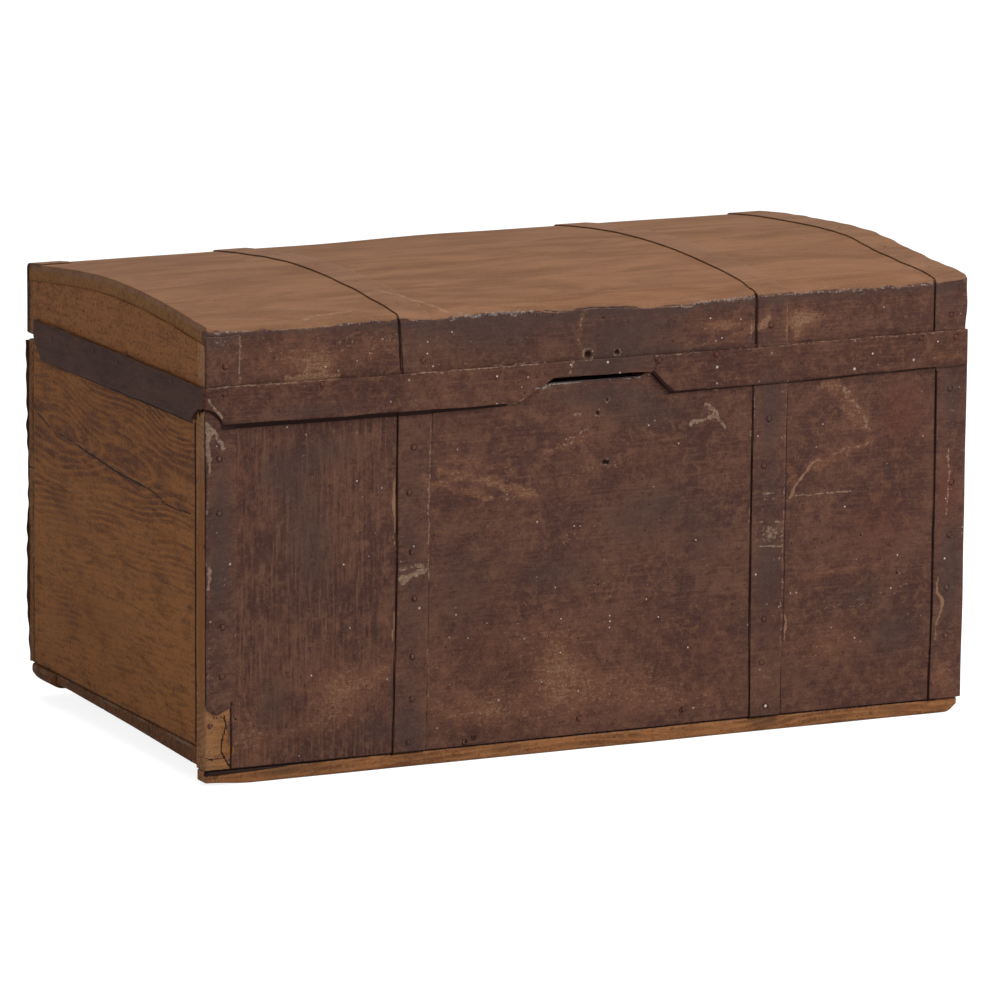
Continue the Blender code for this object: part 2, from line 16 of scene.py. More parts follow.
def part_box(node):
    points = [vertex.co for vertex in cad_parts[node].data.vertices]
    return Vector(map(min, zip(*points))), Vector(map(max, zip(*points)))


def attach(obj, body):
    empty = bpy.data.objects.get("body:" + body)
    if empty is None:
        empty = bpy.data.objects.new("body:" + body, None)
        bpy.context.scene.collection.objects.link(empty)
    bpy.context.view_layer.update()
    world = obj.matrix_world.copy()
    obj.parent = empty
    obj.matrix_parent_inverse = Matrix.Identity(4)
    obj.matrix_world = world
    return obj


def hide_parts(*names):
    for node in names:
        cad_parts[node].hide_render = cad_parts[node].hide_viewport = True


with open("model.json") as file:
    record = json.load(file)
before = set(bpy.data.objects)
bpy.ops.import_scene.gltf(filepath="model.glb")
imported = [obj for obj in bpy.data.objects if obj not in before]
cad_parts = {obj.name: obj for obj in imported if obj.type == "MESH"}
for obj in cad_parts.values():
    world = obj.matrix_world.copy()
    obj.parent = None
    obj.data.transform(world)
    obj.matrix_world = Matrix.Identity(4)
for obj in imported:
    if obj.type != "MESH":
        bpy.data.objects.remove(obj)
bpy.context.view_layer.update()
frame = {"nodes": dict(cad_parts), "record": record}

BODIES = frame["record"]["behaviour"]["bodies"]
print("bodies:", {body: len(nodes) for body, nodes in BODIES.items()})

# %% [markdown]
# ## Sizes
# A surface that replaces a board or an iron has to stay where that piece is, so all places are
# read from the frame. The marks of wear, and the painted shade and highlights, are written in
# millimetres on three faces of the chest: the front (x, z), the top (x, y) and the left end
# (y, z), as they would be chalked out on it.

# %% Read the sizes
MM = 0.001
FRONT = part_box("front_board_lower")[0].y
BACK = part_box("back_board_lower")[1].y
LEFT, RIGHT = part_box("front_board_lower")[0].x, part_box("front_board_lower")[1].x
CASE_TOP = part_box("left_end_board")[1].z
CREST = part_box("lid_stave_3")[1].z
CROWN_RISE = 0.0135
EDGE_Z = CREST - CROWN_RISE
MID_Y = (FRONT + BACK) / 2
CROWN_RADIUS = ((BACK - FRONT) ** 2 / 4 + CROWN_RISE ** 2) / (2 * CROWN_RISE)
FINE, BOARD_STEP, MEDIUM, COARSE = 0.0014, 0.0016, 0.0025, 0.006  # steps between points
JOINT_Z = 0.235  # where the front's two boards meet
CHALK_ZERO = np.array([LEFT + 0.4085, FRONT + 0.2123, 0])
print("front, back, left, right, crest:", [round(v, 4) for v in (FRONT, BACK, LEFT, RIGHT, CREST)])


def crown(y):
    """Height of the lid's top: a circular arc over the depth of the chest."""
    return CREST - CROWN_RADIUS + np.sqrt(CROWN_RADIUS ** 2 - (y - MID_Y) ** 2)


def in_front(points, reach):
    """Which points lie before the front's face, or less than reach behind it."""
    return points[:, 1] < FRONT + reach


# %% [markdown]
# ## Uneven surfaces
# Nothing on an old chest is straight. A smooth random field, added to a surface, makes it
# look planed, bent or worn by hand. A sum of cosine waves that all have about one length, but
# run in random directions, is such a field. It needs no texture, and it repeats exactly on
# each run, because its directions come from a seed.

# %% A smooth random field
AXES = X, Y, Z = np.eye(3)


def wobble(points, size, seed, waves=14):
    """Random field with unit spread: the scaled sum of cosine waves about size metres long."""
    rng = np.random.default_rng(seed)
    ways = rng.normal(size=(waves, 3))
    ways /= np.linalg.norm(ways, axis=1, keepdims=True)
    ways *= 2 * pi / size * rng.uniform(0.6, 1.5, (waves, 1))
    return np.cos(points @ ways.T + rng.uniform(0, 2 * pi, waves)).sum(-1) * sqrt(2 / waves)


def wander(run, size, amount, seed):
    """Slow drift of an edge along its run."""
    return amount * wobble(np.asarray(run)[:, None] * X, size, seed)


def smooth(low, high, value):
    """0 below low, 1 above high, and an S-shaped cubic between."""
    share = np.clip((value - low) / (high - low), 0, 1)
    return share * share * (3 - 2 * share)


spread = wobble(np.random.default_rng(0).uniform(0, 1, (500, 3)), 0.05, 1).std()
print("field spread:", spread.round(2))

# %% [markdown]
# ## One form for boards and irons
# A board and a strap are the same form: a rectangle with rounded corners, carried along a path.
# The rectangle's ring of points is one parameter and the path is the other, so the whole skin
# is one grid. At each end the ring first rounds over and then shrinks towards its middle, which
# gives the end face its own grid for end grain.

# %% The ring of a rounded rectangle
def ring(counts):
    """Signs of a rounded rectangle's points: place on the straight sides, and way round corners.

    counts are the numbers of steps along the sides that face -b, +a, +b and -a.
    """
    spots, ways = [], []
    for turn, count in enumerate(counts):
        out = np.round([cos(pi / 2 * (turn - 1)), sin(pi / 2 * (turn - 1))])
        along = np.array([-out[1], out[0]])
        along_side = np.linspace(-1, 1, count + 1)[:, None]
        spots += [out + along * along_side, (out + along)[None]]
        ways += [np.repeat(out[None], count + 1, 0), (out + along)[None] / sqrt(2)]
    return np.concatenate(spots), np.concatenate(ways)


# %% Carry the ring along a path
def carry(path, across, up, half_a, half_b, radius, counts, end_step=MEDIUM):
    """Closed skin round a path: point = path + across * a + up * b, (a, b) on the ring.

    Returns the grid of points, and 1 on the rounded arrises, 0 elsewhere.
    """
    spots, ways = ring(counts)
    count = len(path)
    across, up = np.broadcast_to(across, (count, 3)), np.broadcast_to(up, (count, 3))
    half_a, half_b = np.broadcast_to(half_a, count), np.broadcast_to(half_b, count)
    deepest = min(half_a[0], half_b[0], half_a[-1], half_b[-1]) * 0.97
    insets = np.arange(deepest, radius, -end_step)
    shifts = np.concatenate([np.full(len(insets), radius), [radius, radius * cos(pi / 4)]])
    insets = np.concatenate([insets, [radius, radius * (1 - sin(pi / 4))]])
    first, last = (way / np.linalg.norm(way) for way in (path[1] - path[0], path[-1] - path[-2]))
    centre = np.concatenate([path[0] - first * shifts[:, None], path,
                             path[-1] + last * shifts[::-1, None]])
    inset = np.concatenate([insets, np.zeros(count), insets[::-1]])
    ends = len(insets)
    across, up, half_a, half_b = (
        np.concatenate([np.repeat(values[:1], ends, 0), values, np.repeat(values[-1:], ends, 0)])
        for values in (across, up, half_a, half_b))
    corner = np.maximum(radius - inset, 0)[:, None]
    a = spots[:, 0] * (half_a[:, None] - inset[:, None] - corner) + ways[:, 0] * corner
    b = spots[:, 1] * (half_b[:, None] - inset[:, None] - corner) + ways[:, 1] * corner
    grid = centre[:, None] + across[:, None] * a[..., None] + up[:, None] * b[..., None]
    arris = np.repeat((np.abs(ways).min(1) > 0.1)[None].astype(float), len(grid), 0)
    arris[[ends - 1, ends - 2, len(grid) - ends, len(grid) - ends + 1]] = 1
    return grid, arris


# %% Turn a grid into a mesh
def placed(name, data):
    """Put a mesh, a lamp or a camera into the scene as an object."""
    made = bpy.data.objects.new(name, data)
    bpy.context.scene.collection.objects.link(made)
    return made


def skin(name, grid):
    """Mesh of a grid of points, its last column joined to its first and its two ends capped."""
    rows, columns = grid.shape[:2]
    index = np.arange(rows * columns).reshape(rows, columns)
    following = np.roll(index, -1, 1)
    quads = np.stack([index[:-1], following[:-1], following[1:], index[1:]], -1).reshape(-1, 4)
    points = grid.reshape(-1, 3)
    a, b, c, d = (points[quads[:, i]] for i in range(4))
    volume = np.einsum('ij,ij->i', a - points.mean(0), np.cross(c - a, d - b)).sum()
    if volume < 0:
        quads, index = quads[:, ::-1], index[:, ::-1]
    loops = np.concatenate([quads.ravel(), index[0, ::-1], index[-1]])
    starts = np.concatenate([np.arange(len(quads)) * 4,
                             [4 * len(quads), 4 * len(quads) + columns]])
    mesh = bpy.data.meshes.new(name)
    mesh.vertices.add(len(points))
    mesh.vertices.foreach_set("co", points.astype(np.float32).ravel())
    mesh.loops.add(len(loops))
    mesh.loops.foreach_set("vertex_index", loops.astype(np.int32))
    mesh.polygons.add(len(starts))
    mesh.polygons.foreach_set("loop_start", starts.astype(np.int32))
    mesh.polygons.foreach_set("use_smooth", np.ones(len(starts), bool))
    mesh.update(calc_edges=True)
    mesh.validate()
    return placed(name, mesh)


# %% [markdown]
# ## The marks of wear, and painted shade and highlights
# Scratches, smears and stains are what make this chest this one. Beside them stand painted
# shade and shadows along the irons' edges, under the rim and in gaps and holes, and painted
# highlights and sheen on the lid's front arris. Each is a stroke along a few points or a soft
# oval, with a kind, a width and a strength. Every piece asks for the marks of its face and
# stores them as attributes on its points, so that a scratch runs on from a board over a strap.
# The materials break the soft marks up with noise, which gives ragged edges.
#
# A stroke is its half width, its strength and its points one after the other, in millimetres.
# Where its width changes, each point is in brackets, with its share of the width. An oval is
# its strength, its centre, its two radii and, where it is turned, the angle in degrees.

# %% Strokes on the front (x, z)
FRONT_STROKES = {
    "pale": [(3.5, 0.6, 276, 341, 284, 331, 292, 322, 299, 309, 304, 300),
        (1.5, 0.65, 242, 264, 251, 268.7, 265, 273, 281, 278, 299, 280.5, 310, 282),
        (1, 0.8, 226, 235.6, 258, 235.2, 288, 235),
        (2, 0.9, 109.5, 316, 118.4, 320.3, 126.3, 321.8, 136, 321),
        (1.8, 0.9, 125.4, 334, 130.6, 331.6, 136.3, 326, 139.8, 318.8, 146, 311.8),
        (4, 0.6, 127, 328, 133, 324), (0.8, 0.6, 243, 116, 300, 124, 362, 137),
        (0.8, 0.5, 236, 112, 296, 118, 340, 127), (1.4, 0.65, -51.6, 296.6, -38, 302.6, -24.6, 305),
        (1.4, 0.65, -24.6, 305, -11, 307.7, 0.5, 315.6),
        (1.3, 0.6, -36, 309.5, -19, 311.8, -3.4, 320.3), (1.7, 0.8, -19, 333, -10.4, 335),
        (0.8, 0.65, -24, 275, -7, 278, 9, 280.6), (3, 0.8, -203, 188, -192, 190, -178, 195),
        (2, 0.6, -204, 196, -190, 199, -177, 200), (0.9, 1, 189.8, 241.1, 202.3, 241.6),
        (0.9, 0.95, 189.9, 235.8, 202.4, 235.4), (0.9, 1, 183.8, 188.3, 213.5, 186.7),
        (0.9, 0.5, 182, 213, 200, 212, 214, 211),
        (1.4, 0.6, -11.5, 436, -11.4, 424, -15, 413.5, -11, 401, -9.6, 388),
        (1, 0.9, -21.6, 387.7, -24.4, 375.5), (0.9, 0.75, -405, 388.2, -340, 388, -300, 387.8),
        (0.9, 0.85, -195, 387, -146, 387.2, -89, 387.4, -50, 387.6),
        (0.8, 0.7, 62, 386.6, 118, 386.4), (0.8, 0.6, 150, 387.4, 290, 388.2, 408, 389),
        (1.2, 0.8, -374, 437, -373, 412, -374, 392), (1.2, 0.8, 172, 392, 175, 404, 176, 416),
        (2.4, 1.1, (-408, 354, 1.1), (-405, 344, 1.6), (-405.6, 336.7, 1.1), (-405.6, 329, 0.8),
         (-405.6, 316, 0.6), (-404.9, 308.5, 0.7)),
        (2.4, 1.1, (-403, 345, 1.3), (-398.5, 343.5, 1), (-392.2, 337, 1), (-389.8, 329.6, 1)),
        (1.4, 0.9, -406.4, 378, -403.3, 370.4, -397, 365.5, -393, 359.3),
        (2, 1, (-408, 223, 0.5), (-405.6, 210.8, 1), (-404.8, 201.8, 1.1), (-406.4, 193, 0.9)),
        (1, 0.5, -406, 300, -407, 262, -407, 235), (1, 0.5, -406, 150, -406.5, 120, -406, 86),
        (1, 0.8, -172, 348, -174, 262, -173, 178), (1, 0.6, -173, 120, -174, 20),
        (1, 0.6, 398, 270, 399, 240, 397, 200), (1.2, 0.4, 404, 60, 401, 30),
        (1, 0.8, 178, 350, 177, 330, 176, 300), (1, 0.6, 214, 348, 213, 200, 212, 60),
        (1, 0.5, -150, 262, -119, 276, -70, 290), (0.8, 0.5, -120, 250, -60, 262, 0, 270),
        (0.8, 0.45, 20, 150, 80, 163, 140, 176), (0.8, 0.45, -140, 205, -90, 214, -60, 222)],
    "gold": [(10, 0.7, 262, 345, 282, 328, 298, 307, 306, 298),
        (2.5, 0.9, 249.5, 343.6, 277, 340.6), (6, 0.7, 240, 262, 270, 272, 310, 284),
        (5, 0.6, 225, 250, 222, 262, 215, 268), (4, 0.6, 232, 150, 262, 156, 320, 158),
        (5, 0.6, -52, 296, -25, 305, 0, 316), (5, 0.85, -161, 289, -126, 281, -88, 269, -61, 258),
        (4, 0.7, -184, 284, -145, 270, -107, 260), (4, 0.6, -150, 300, -110, 290, -80, 284),
        (5, 0.5, -11, 436, -14, 413, -10, 390), (3.5, 0.9, -325, 391, -270, 391),
        (3, 0.6, 100, 392, 150, 397, 176, 404), (4, 0.9, 184, 408, 192, 411)],
    "bare": [
        (1.4, 1, (220.6, 235.1, 1.5), (225, 243, 1.2), (233, 254.6, 1), (242, 264, 0.8),
         (251, 268.7, 0.5)), (1.4, 0.8, (213.5, 424, 0.7), (214, 405, 1), (214.5, 392, 1)),
        (0.7, 0.8, -173, 170, -173.5, 130),
        (1.3, 1.1, (-209, 287, 0.5), (-210.3, 277, 0.9), (-211, 264, 1.5), (-210, 252, 1),
         (-208.8, 232, 0.5), (-208, 215, 0.3)),
        (1, 1.1, (-208.6, 162, 0.4), (-209.4, 142, 1), (-210, 120, 0.4)),
        (1, 1.1, (176.2, 238, 0.5), (175.9, 226, 1), (176.4, 214, 0.6)),
        (0.8, 1, -108, 350, -81, 350.8, -74.5, 354.5), (1.1, 0.9, 127, 350.2, 137, 349),
        (1.3, 0.95, (215.4, 118, 0.6), (218, 107.5, 1.3), (216.3, 91, 0.6)),
        (1.3, 0.9, (388.1, 141, 0.4), (388, 124.4, 1), (393, 115.5, 1.6), (393, 105, 1.2),
         (387, 91, 0.8), (386.7, 76.5, 0.5))],
    "dark": [(0.6, 0.8, -52, 438.6, -40, 436.6, 0, 437.8, 60, 434.9, 100, 434.8),
        # Painted shadow: dark lines down the left edges of the two straps and of the right corner iron,
        # which stand off the boards.
        (0.8, 1.1, -208.1, 350, -206.8, 200, -208.6, 110, -211, 13),
        (0.8, 1.1, 177, 350, 176.8, 200, 177.4, 110, 178.2, 13),
        (0.8, 1.1, 381.9, 350, 382.9, 250, 382.1, 100, 380.3, 13),
        (0.7, 0.75, -171.2, 350, -171.8, 200, -173.2, 110, -175, 16),
        (0.8, 0.85, 216, 350, 215.2, 200, 215, 110, 213.6, 16),
        (1, 1.1, -382, 15, -381.5, 40, -382, 81),
        (0.9, 1.1, -389, 68, -387, 58, -391, 46, -392, 33, -384, 19),
        (0.8, 0.9, -408, 28, -400, 26, -391, 27), (0.7, 0.9, -402, 75, -400, 66),
        # Painted shadow down the left edges of the irons on the lid's front; the faint last line runs
        # down the right strap's right edge.
        (1.1, 1.1, -208.2, 441, -207.2, 437, -206, 412, -204.8, 391),
        (1, 1.1, 179.2, 440, 179.4, 415, 179.4, 391), (0.8, 0.9, 379.6, 443, 379, 415, 379, 392),
        (0.6, 0.4, 213.2, 440, 214.2, 415, 214.2, 392),
        # Painted shade under the arch that cuts the rim away at the left front corner.
        (1, 1.1, -408, 366.5, -402, 364.5, -396, 359.5, -391, 351),
        # Painted shadow under the rim's lip along the front, widest at the left where the lip stands
        # off, and a thinner one right of the notch. It stays on the case when the lid is open.
        (1.9, 1.3, (-391, 349.2, 1.2), (-300, 348.8, 1.1), (-200, 348.6, 1), (-110, 348.6, 0.7),
         (-85, 349.3, 0.3)), (1, 0.9, 84, 349, 200, 350, 300, 351, 381, 353),
        # Painted shade in the gap beside the hasp notch's right side, then a short dark line above it.
        (2, 1.2, 66, 370.5, 75, 361, 87, 350.4), (0.8, 0.8, 66, 387, 69, 378, 66, 371),
        # Painted shade in the gap between the front boards and the runner, widest at the left.
        (2.4, 1.1, (-409, 13.5, 1), (-360, 13.5, 1), (-300, 14.5, 0.5), (-250, 15, 0.3)),
        (1.2, 0.8, -300, 15, 0, 15, 390, 15)],
    # Painted sheen: a bluish band along the lid's front arris, standing in for the light that its
    # rounding reflects.
    "blue": [(4, 0.5, -408, 437, -240, 437, -120, 436, 0, 434, 90, 430, 120, 433, 408, 434)],
    # Bright worn edges with painted highlights: along the top edge at the hasp slot and along the lid's
    # front arris, where its rounding catches the light.
    "highlight_and_wear": [
        (1.1, 1.1, (-62, 362.4, 0.6), (-46.5, 364.8, 1.3), (-25, 366.8, 1.3), (7.7, 367.2, 1),
         (52, 366.7, 0.7)), (2.4, 0.66, -152, 438, -118, 439.6, -95, 439.2, -66, 438),
        (1, 0.6, -66, 438, -35, 435), (1.8, 0.68, 86, 433.4, 120, 435.4, 150, 437, 176, 437.8),
        (1.1, 0.6, 182, 438, 260, 436.8, 330, 436, 380, 437),
        (1, 0.5, -408, 441, -300, 438, -230, 440.3, -190, 438, -160, 437.4)],
}

# %% Soft ovals on the front (x, z)
FRONT_OVALS = {
    "pale": [(0.35, -390, 198, 12, 9), (0.3, -250, 425, 40, 12), (0.3, -215, 415, 12, 16),
        (0.3, -70, 38, 24, 10), (0.35, 402, 290, 10, 60), (0.8, 199, 201, 14, 9),
        (0.45, -188, 189, 13, 7), (0.42, -22, 212, 24, 9, 25), (0.38, 66, 223, 24, 7, 10),
        (0.36, 12, 164, 40, 6, 8), (0.3, 30, 285, 36, 8, 10), (0.25, -110, 235, 50, 8, 12),
        (0.3, -160, 418, 26, 10), (0.2, -290, 410, 60, 16)],
    "gold": [(0.9, -268, 82, 34, 34, 20), (0.6, -222, 98, 26, 10, 25), (0.5, -320, 45, 60, 16, 5),
        (0.75, -32, 84, 30, 44, 10), (0.35, -85, 108, 36, 18, 25), (0.6, -110, 50, 40, 20),
        (0.35, 40, 58, 60, 24, 5), (0.5, -370, 50, 30, 60), (0.38, -20, 55, 150, 50),
        (0.4, 120, 42, 70, 18), (0.6, 260, 78, 55, 26, 12), (0.2, 0, 130, 120, 30),
        (0.4, 330, 40, 60, 16), (0.9, -292, 403, 26, 12, 5), (0.6, -330, 415, 60, 20),
        (0.3, -395, 410, 14, 24), (0.6, -236, 412, 24, 16, 5), (1, 228, 412, 16, 14),
        (0.7, 250, 412, 26, 6), (0.7, 224, 396, 6, 14), (0.8, 150, 411, 28, 6),
        (0.5, 320, 418, 50, 4), (0.5, 188, 414, 10, 10), (0.8, 396, 36, 14, 24),
        (0.35, 398, 160, 8, 40), (0.7, 384, 364, 22, 7), (0.35, 130, 416, 40, 8, 3),
        (0.3, 60, 292, 60, 16, 10), (0.3, -120, 250, 40, 14, 10), (0.3, 250, 305, 40, 10),
        (0.35, -165, 80, 30, 60), (0.35, 195, 60, 16, 30)],
    # Painted shade: the runner's left end, which lies in shadow, and the inside of the rim's arch at the
    # left front corner.
    "dark": [(0.62, -400, 8, 26, 7), (0.5, -404, 360, 9, 8)],
    "blue": [(0.8, -330, 9, 46, 5), (0.7, -90, 9, 26, 5), (0.6, 110, 9, 22, 5),
        (0.9, 196, 9, 16, 6), (0.6, 345, 9, 26, 5), (0.6, -300, 232, 34, 70, 4),
        (0.5, -330, 300, 30, 24), (0.5, -275, 318, 40, 16), (0.55, -340, 70, 22, 40),
        (0.5, -232, 40, 36, 18), (0.6, -396, 205, 12, 22), (0.5, -395, 260, 12, 40),
        (0.55, -190, 40, 16, 26), (0.45, -140, 170, 34, 60), (0.7, 10, 352, 64, 12),
        (0.55, 60, 330, 60, 16), (0.6, 60, 232, 62, 34, 12), (0.4, 130, 190, 34, 44),
        (0.5, -40, 180, 50, 24), (0.6, 340, 88, 38, 28, 14), (0.45, 300, 130, 46, 14, 14),
        (0.4, 240, 60, 40, 22), (0.8, 402, 150, 14, 62), (0.7, 400, 318, 13, 34),
        (0.55, 196, 163, 16, 24), (0.55, 196, 330, 16, 30), (0.7, 20, 380, 66, 12),
        (0.55, 30, 402, 46, 16), (0.6, -90, 430, 110, 9), (0.5, -300, 360, 70, 9),
        (0.5, -395, 428, 16, 9), (0.55, -110, 416, 80, 20), (0.5, 60, 418, 70, 16),
        (0.5, 394, 420, 14, 22), (0.5, 110, 392, 60, 7), (0.4, -191, 180, 15, 260),
        (0.45, 196, 180, 16, 260), (0.3, -393, 200, 15, 240)],
    "red": [(1.2, -300, 6, 70, 6), (1, -180, 7, 30, 6), (1, 20, 8, 40, 6), (0.9, 270, 6, 34, 5),
        (1, 398, 226, 12, 34), (0.7, 345, 310, 30, 40), (0.4, -120, 120, 40, 40),
        (0.5, 200, 120, 16, 50), (0.4, 120, 90, 60, 40), (0.5, 320, 200, 50, 50),
        (0.4, -370, 300, 16, 50)],
    # A bright worn spot with a painted highlight, on the lid's front by its left corner.
    "highlight_and_wear": [(0.35, -392, 432, 14, 6)],
}

# %% Marks on the left end (y, z) and on the top (x, y)
END_STROKES = {
    "dark": [(0.9, 1.2, 206, 293, 192, 290, 176, 285), (0.8, 0.8, 150, 283, 128, 281, 104, 279),
        (1, 1.2, 104, 279, 50, 274, 0, 269, -60, 267),
        (0.8, 1.1, -60, 267, -90, 265, -115, 259, -150, 259, -178, 261),
        (1.6, 0.9, -188, 40, -188, 200, -188, 350), (1.4, 0.9, -211, 80, -211, 200, -211, 360),
        (1.4, 0.8, 200, 350, 100, 350, 0, 350, -182, 350), (2, 0.6, 196, 38, 60, 37, -186, 37),
        (1, 0.9, 200, 429, 174, 431.4, 100, 438, 60, 440.5, 10, 442, -60, 440.7, -130, 436.6,
         -192, 430.7, -209, 428.7),
        (0.9, 1, 190, 447, 170, 449.2, 100, 455, 50, 458, 10, 459, -60, 457.6, -130, 453.4,
         -180, 449, -209, 445.4), (0.8, 0.9, 54.4, 441, 54.4, 450), (0.8, 0.9, 60, 452, 60, 443),
        (0.8, 0.9, -34.5, 442, -34.5, 451), (0.8, 0.8, -123.4, 438, -123.4, 452),
        # The last stroke is painted shade under the arch of the rim at the front corner.
        (0.9, 0.9, 143, 434, 143, 450), (1, 1.1, -211, 366.5, -203, 365.5, -195, 361.5, -187, 354)],
}
END_OVALS = {
    "gold": [(1.2, -201, 190, 9, 130), (0.5, -120, 225, 50, 14), (0.4, 60, 110, 110, 40)],
    # The third dark oval is painted shade inside the arch of the rim at the front corner.
    "dark": [(0.5, 229, 200, 9, 260), (0.5, 232, 405, 10, 60), (0.5, -203, 361, 13, 9),
        (0.62, 206, 423, 13, 22), (0.3, 0, 345, 200, 7)],
    "blue": [(0.5, 120, 205, 60, 20, 4), (0.4, -120, 175, 34, 12)],
    "red": [(0.9, 20, 300, 300, 60), (0.7, 70, 272, 130, 22), (0.5, 130, 120, 60, 50),
        (0.4, 190, 330, 20, 30)],
}
TOP_STROKES = {
    "pale": [(1.3, 0.35, -174, -200, -173, -60, -172, 120), (1.2, 0.3, -377, -205, -377, -120),
        (2.2, 0.5, -300, -196, -270, -190, -240, -186), (1.6, 0.6, -152, -205, -190, -120)],
    "dark": [(0.9, 0.5, -146, -205, -184, -122), (1, 0.6, 6, -190, 14, -187),
        (1, 0.5, -42, -6, -36, -4)],
}
TOP_OVALS = {
    "pale": [(0.3, -300, -160, 70, 16, 4), (0.25, -250, 60, 80, 20), (0.2, 60, -130, 120, 20),
        (0.25, 290, -140, 60, 16), (0.3, 206, -40, 10, 50)],
    "gold": [(0.4, 0, 0, 150, 60), (0.3, 300, -90, 60, 40)],
    "dark": [(0.38, -290, -30, 80, 40, 6), (0.32, -330, 110, 60, 30), (0.18, -40, 60, 130, 18, 4),
        (0.2, 110, -60, 60, 20), (0.25, 196, -60, 20, 60), (0.2, 300, -40, 60, 20),
        (0.2, -190, 60, 12, 90)],
    "red": [(0.5, -60, 100, 90, 24), (0.45, 190, 40, 20, 80), (0.5, 320, 60, 50, 40),
        (0.4, -320, 170, 60, 20)],
}

# %% Holes and nail heads on the front: x, z, then a hole's radius and depth
FRONT_HOLES = [
    (12.5, 427.5, 1.3, 1.0), (-4, 392, 3.4, 2.4), (27.5, 392.5, 2.3, 2.4), (17.5, 346.5, 1.6, 0.6),
    (7.5, 334, 2.0, 2.2), (15, 285, 2.4, 2.4), (18.5, 284.5, 2.0, 2.0), (10, 164, 1.3, 0.7),
    (-377, 63.5, 1.3, 1.0), (-397, 67, 1.1, 1.0), (-391.5, 67, 1.1, 1.0), (-401.5, 26, 1.3, 1.0),
    (-124, 23, 1.6, 1.0), (-133.5, 19.5, 1.4, 1.0), (103, 28.5, 1.6, 1.0),
    (300, 190, 1.3, 0.6), (342, 148, 1.6, 0.5), (-70, 150, 1.0, 0.5),
]
FRONT_HEADS = {
    "irons": [(-191, 315), (-195, 271), (-191.5, 212.5), (-189, 166.5), (-190.5, 109.5), (-191, 68),
              (-194.5, 25), (194.5, 315.5), (190, 269), (193, 113.5), (191, 69.5), (196, 25),
              (-395, 319), (-394.5, 266.5), (-391.5, 155.5), (-392.5, 107), (398, 331),
              (402, 236), (400.5, 182.5), (398.5, 128.5), (398.5, 79.5)],
    "boards": [(-404.5, 60), (103, 28.5), (-124, 23), (-133.5, 19.5), (-9.5, 31)],
    "lid": [(-182, 399.5), (195.5, 408.5), (398, 405), (-389, 408)],
    "rim": [(-390, 382), (-289, 384), (72.5, 382), (135, 384), (363, 384), (403, 383)],
}
FACES = {"front": (FRONT_STROKES, FRONT_OVALS), "end": (END_STROKES, END_OVALS),
         "top": (TOP_STROKES, TOP_OVALS)}
KINDS = ("pale", "gold", "bare", "dark", "blue", "red", "highlight_and_wear")
for face, tables in FACES.items():
    print(face, "strokes and ovals:", *(sum(map(len, table.values())) for table in tables))


# %% Spread the marks over points
def stroke_field(u, v, spots, half):
    """1 within half the half width from a stroke's line, fading to 0 at 1.6 half widths."""
    if not isinstance(spots[0], tuple):
        spots = [(a, b, 1.0) for a, b in zip(spots[::2], spots[1::2])]
    nearest = np.full(len(u), np.inf)
    for (ua, va, wa), (ub, vb, wb) in zip(spots, spots[1:]):
        du, dv = ub - ua, vb - va
        share = np.clip(((u - ua) * du + (v - va) * dv) / (du * du + dv * dv), 0, 1)
        apart = np.hypot(u - ua - share * du, v - va - share * dv)
        nearest = np.minimum(nearest, apart / (half * (wa + share * (wb - wa))))
    return 1 - smooth(0.5, 1.6, nearest)


def oval_field(u, v, centre_u, centre_v, radius_u, radius_v, turn=0):
    """A bell over an oval: e to the minus squared distance, in the oval's own radii."""
    du, dv = u - centre_u, v - centre_v
    c, s = cos(radians(turn)), sin(radians(turn))
    return np.exp(-((du * c + dv * s) / radius_u) ** 2 - ((dv * c - du * s) / radius_v) ** 2)


def chalked(points):
    """Places in millimetres from the point that the marks are measured from."""
    return (points - CHALK_ZERO).T / MM


def marks_on(points, faces):
    """Strength of each kind of mark at each point, from the faces that the points lie on."""
    x, y, z = chalked(points)
    drawn = {kind: np.zeros(len(points)) for kind in KINDS}
    lies = {"front": (points[:, 1] < FRONT + 0.003) & (z < EDGE_Z / MM - 1),
            "end": points[:, 0] < LEFT + 0.0012,
            "top": z > crown(points[:, 1]) / MM - 2.5}
    flat = {"front": (x, z), "end": (y, z), "top": (x, y)}
    for face in faces:
        on = lies[face]
        u, v = flat[face][0][on], flat[face][1][on]
        shake_u, shake_v = (wobble(points[on], 0.022, seed) + 0.5 * wobble(points[on], 0.008, seed + 2)
                            for seed in (31, 32))
        strokes, ovals = FACES[face]
        for kind, lines in strokes.items():
            for half, strength, *spots in lines:
                loose = 0.0 if kind == "dark" else min(1.5, 0.4 * half)
                field = stroke_field(u + loose * shake_u, v + loose * shake_v, spots, half)
                drawn[kind][on] = np.maximum(drawn[kind][on], strength * field)
        for kind, shapes in ovals.items():
            for strength, *shape in shapes:
                drawn[kind][on] += strength * oval_field(u, v, *shape)
    if "front" in faces:
        on = lies["front"] | (points[:, 1] < FRONT + 0.006) & (z < EDGE_Z / MM - 2)
        for hole_x, hole_z, radius, _ in FRONT_HOLES:
            distance = np.hypot(x[on] - hole_x, z[on] - hole_z) / radius
            # Each hole is darkened inside as painted shade, and ringed with pale chipped paint.
            drawn["dark"][on] = np.maximum(drawn["dark"][on], 1.5 - 0.9 * distance)
            drawn["pale"][on] = np.maximum(drawn["pale"][on], 0.9 - 1.6 * np.abs(distance - 1.7))
        for head_x, head_z in sum(FRONT_HEADS.values(), []):
            distance = np.hypot(x[on] - head_x, z[on] - head_z)
            rim = 1.0 - np.abs(distance - 3.0) * 0.75
            drawn["dark"][on] = np.maximum(drawn["dark"][on], rim)
            drawn["red"][on] += 1.6 * (distance < 2.8)
    return drawn


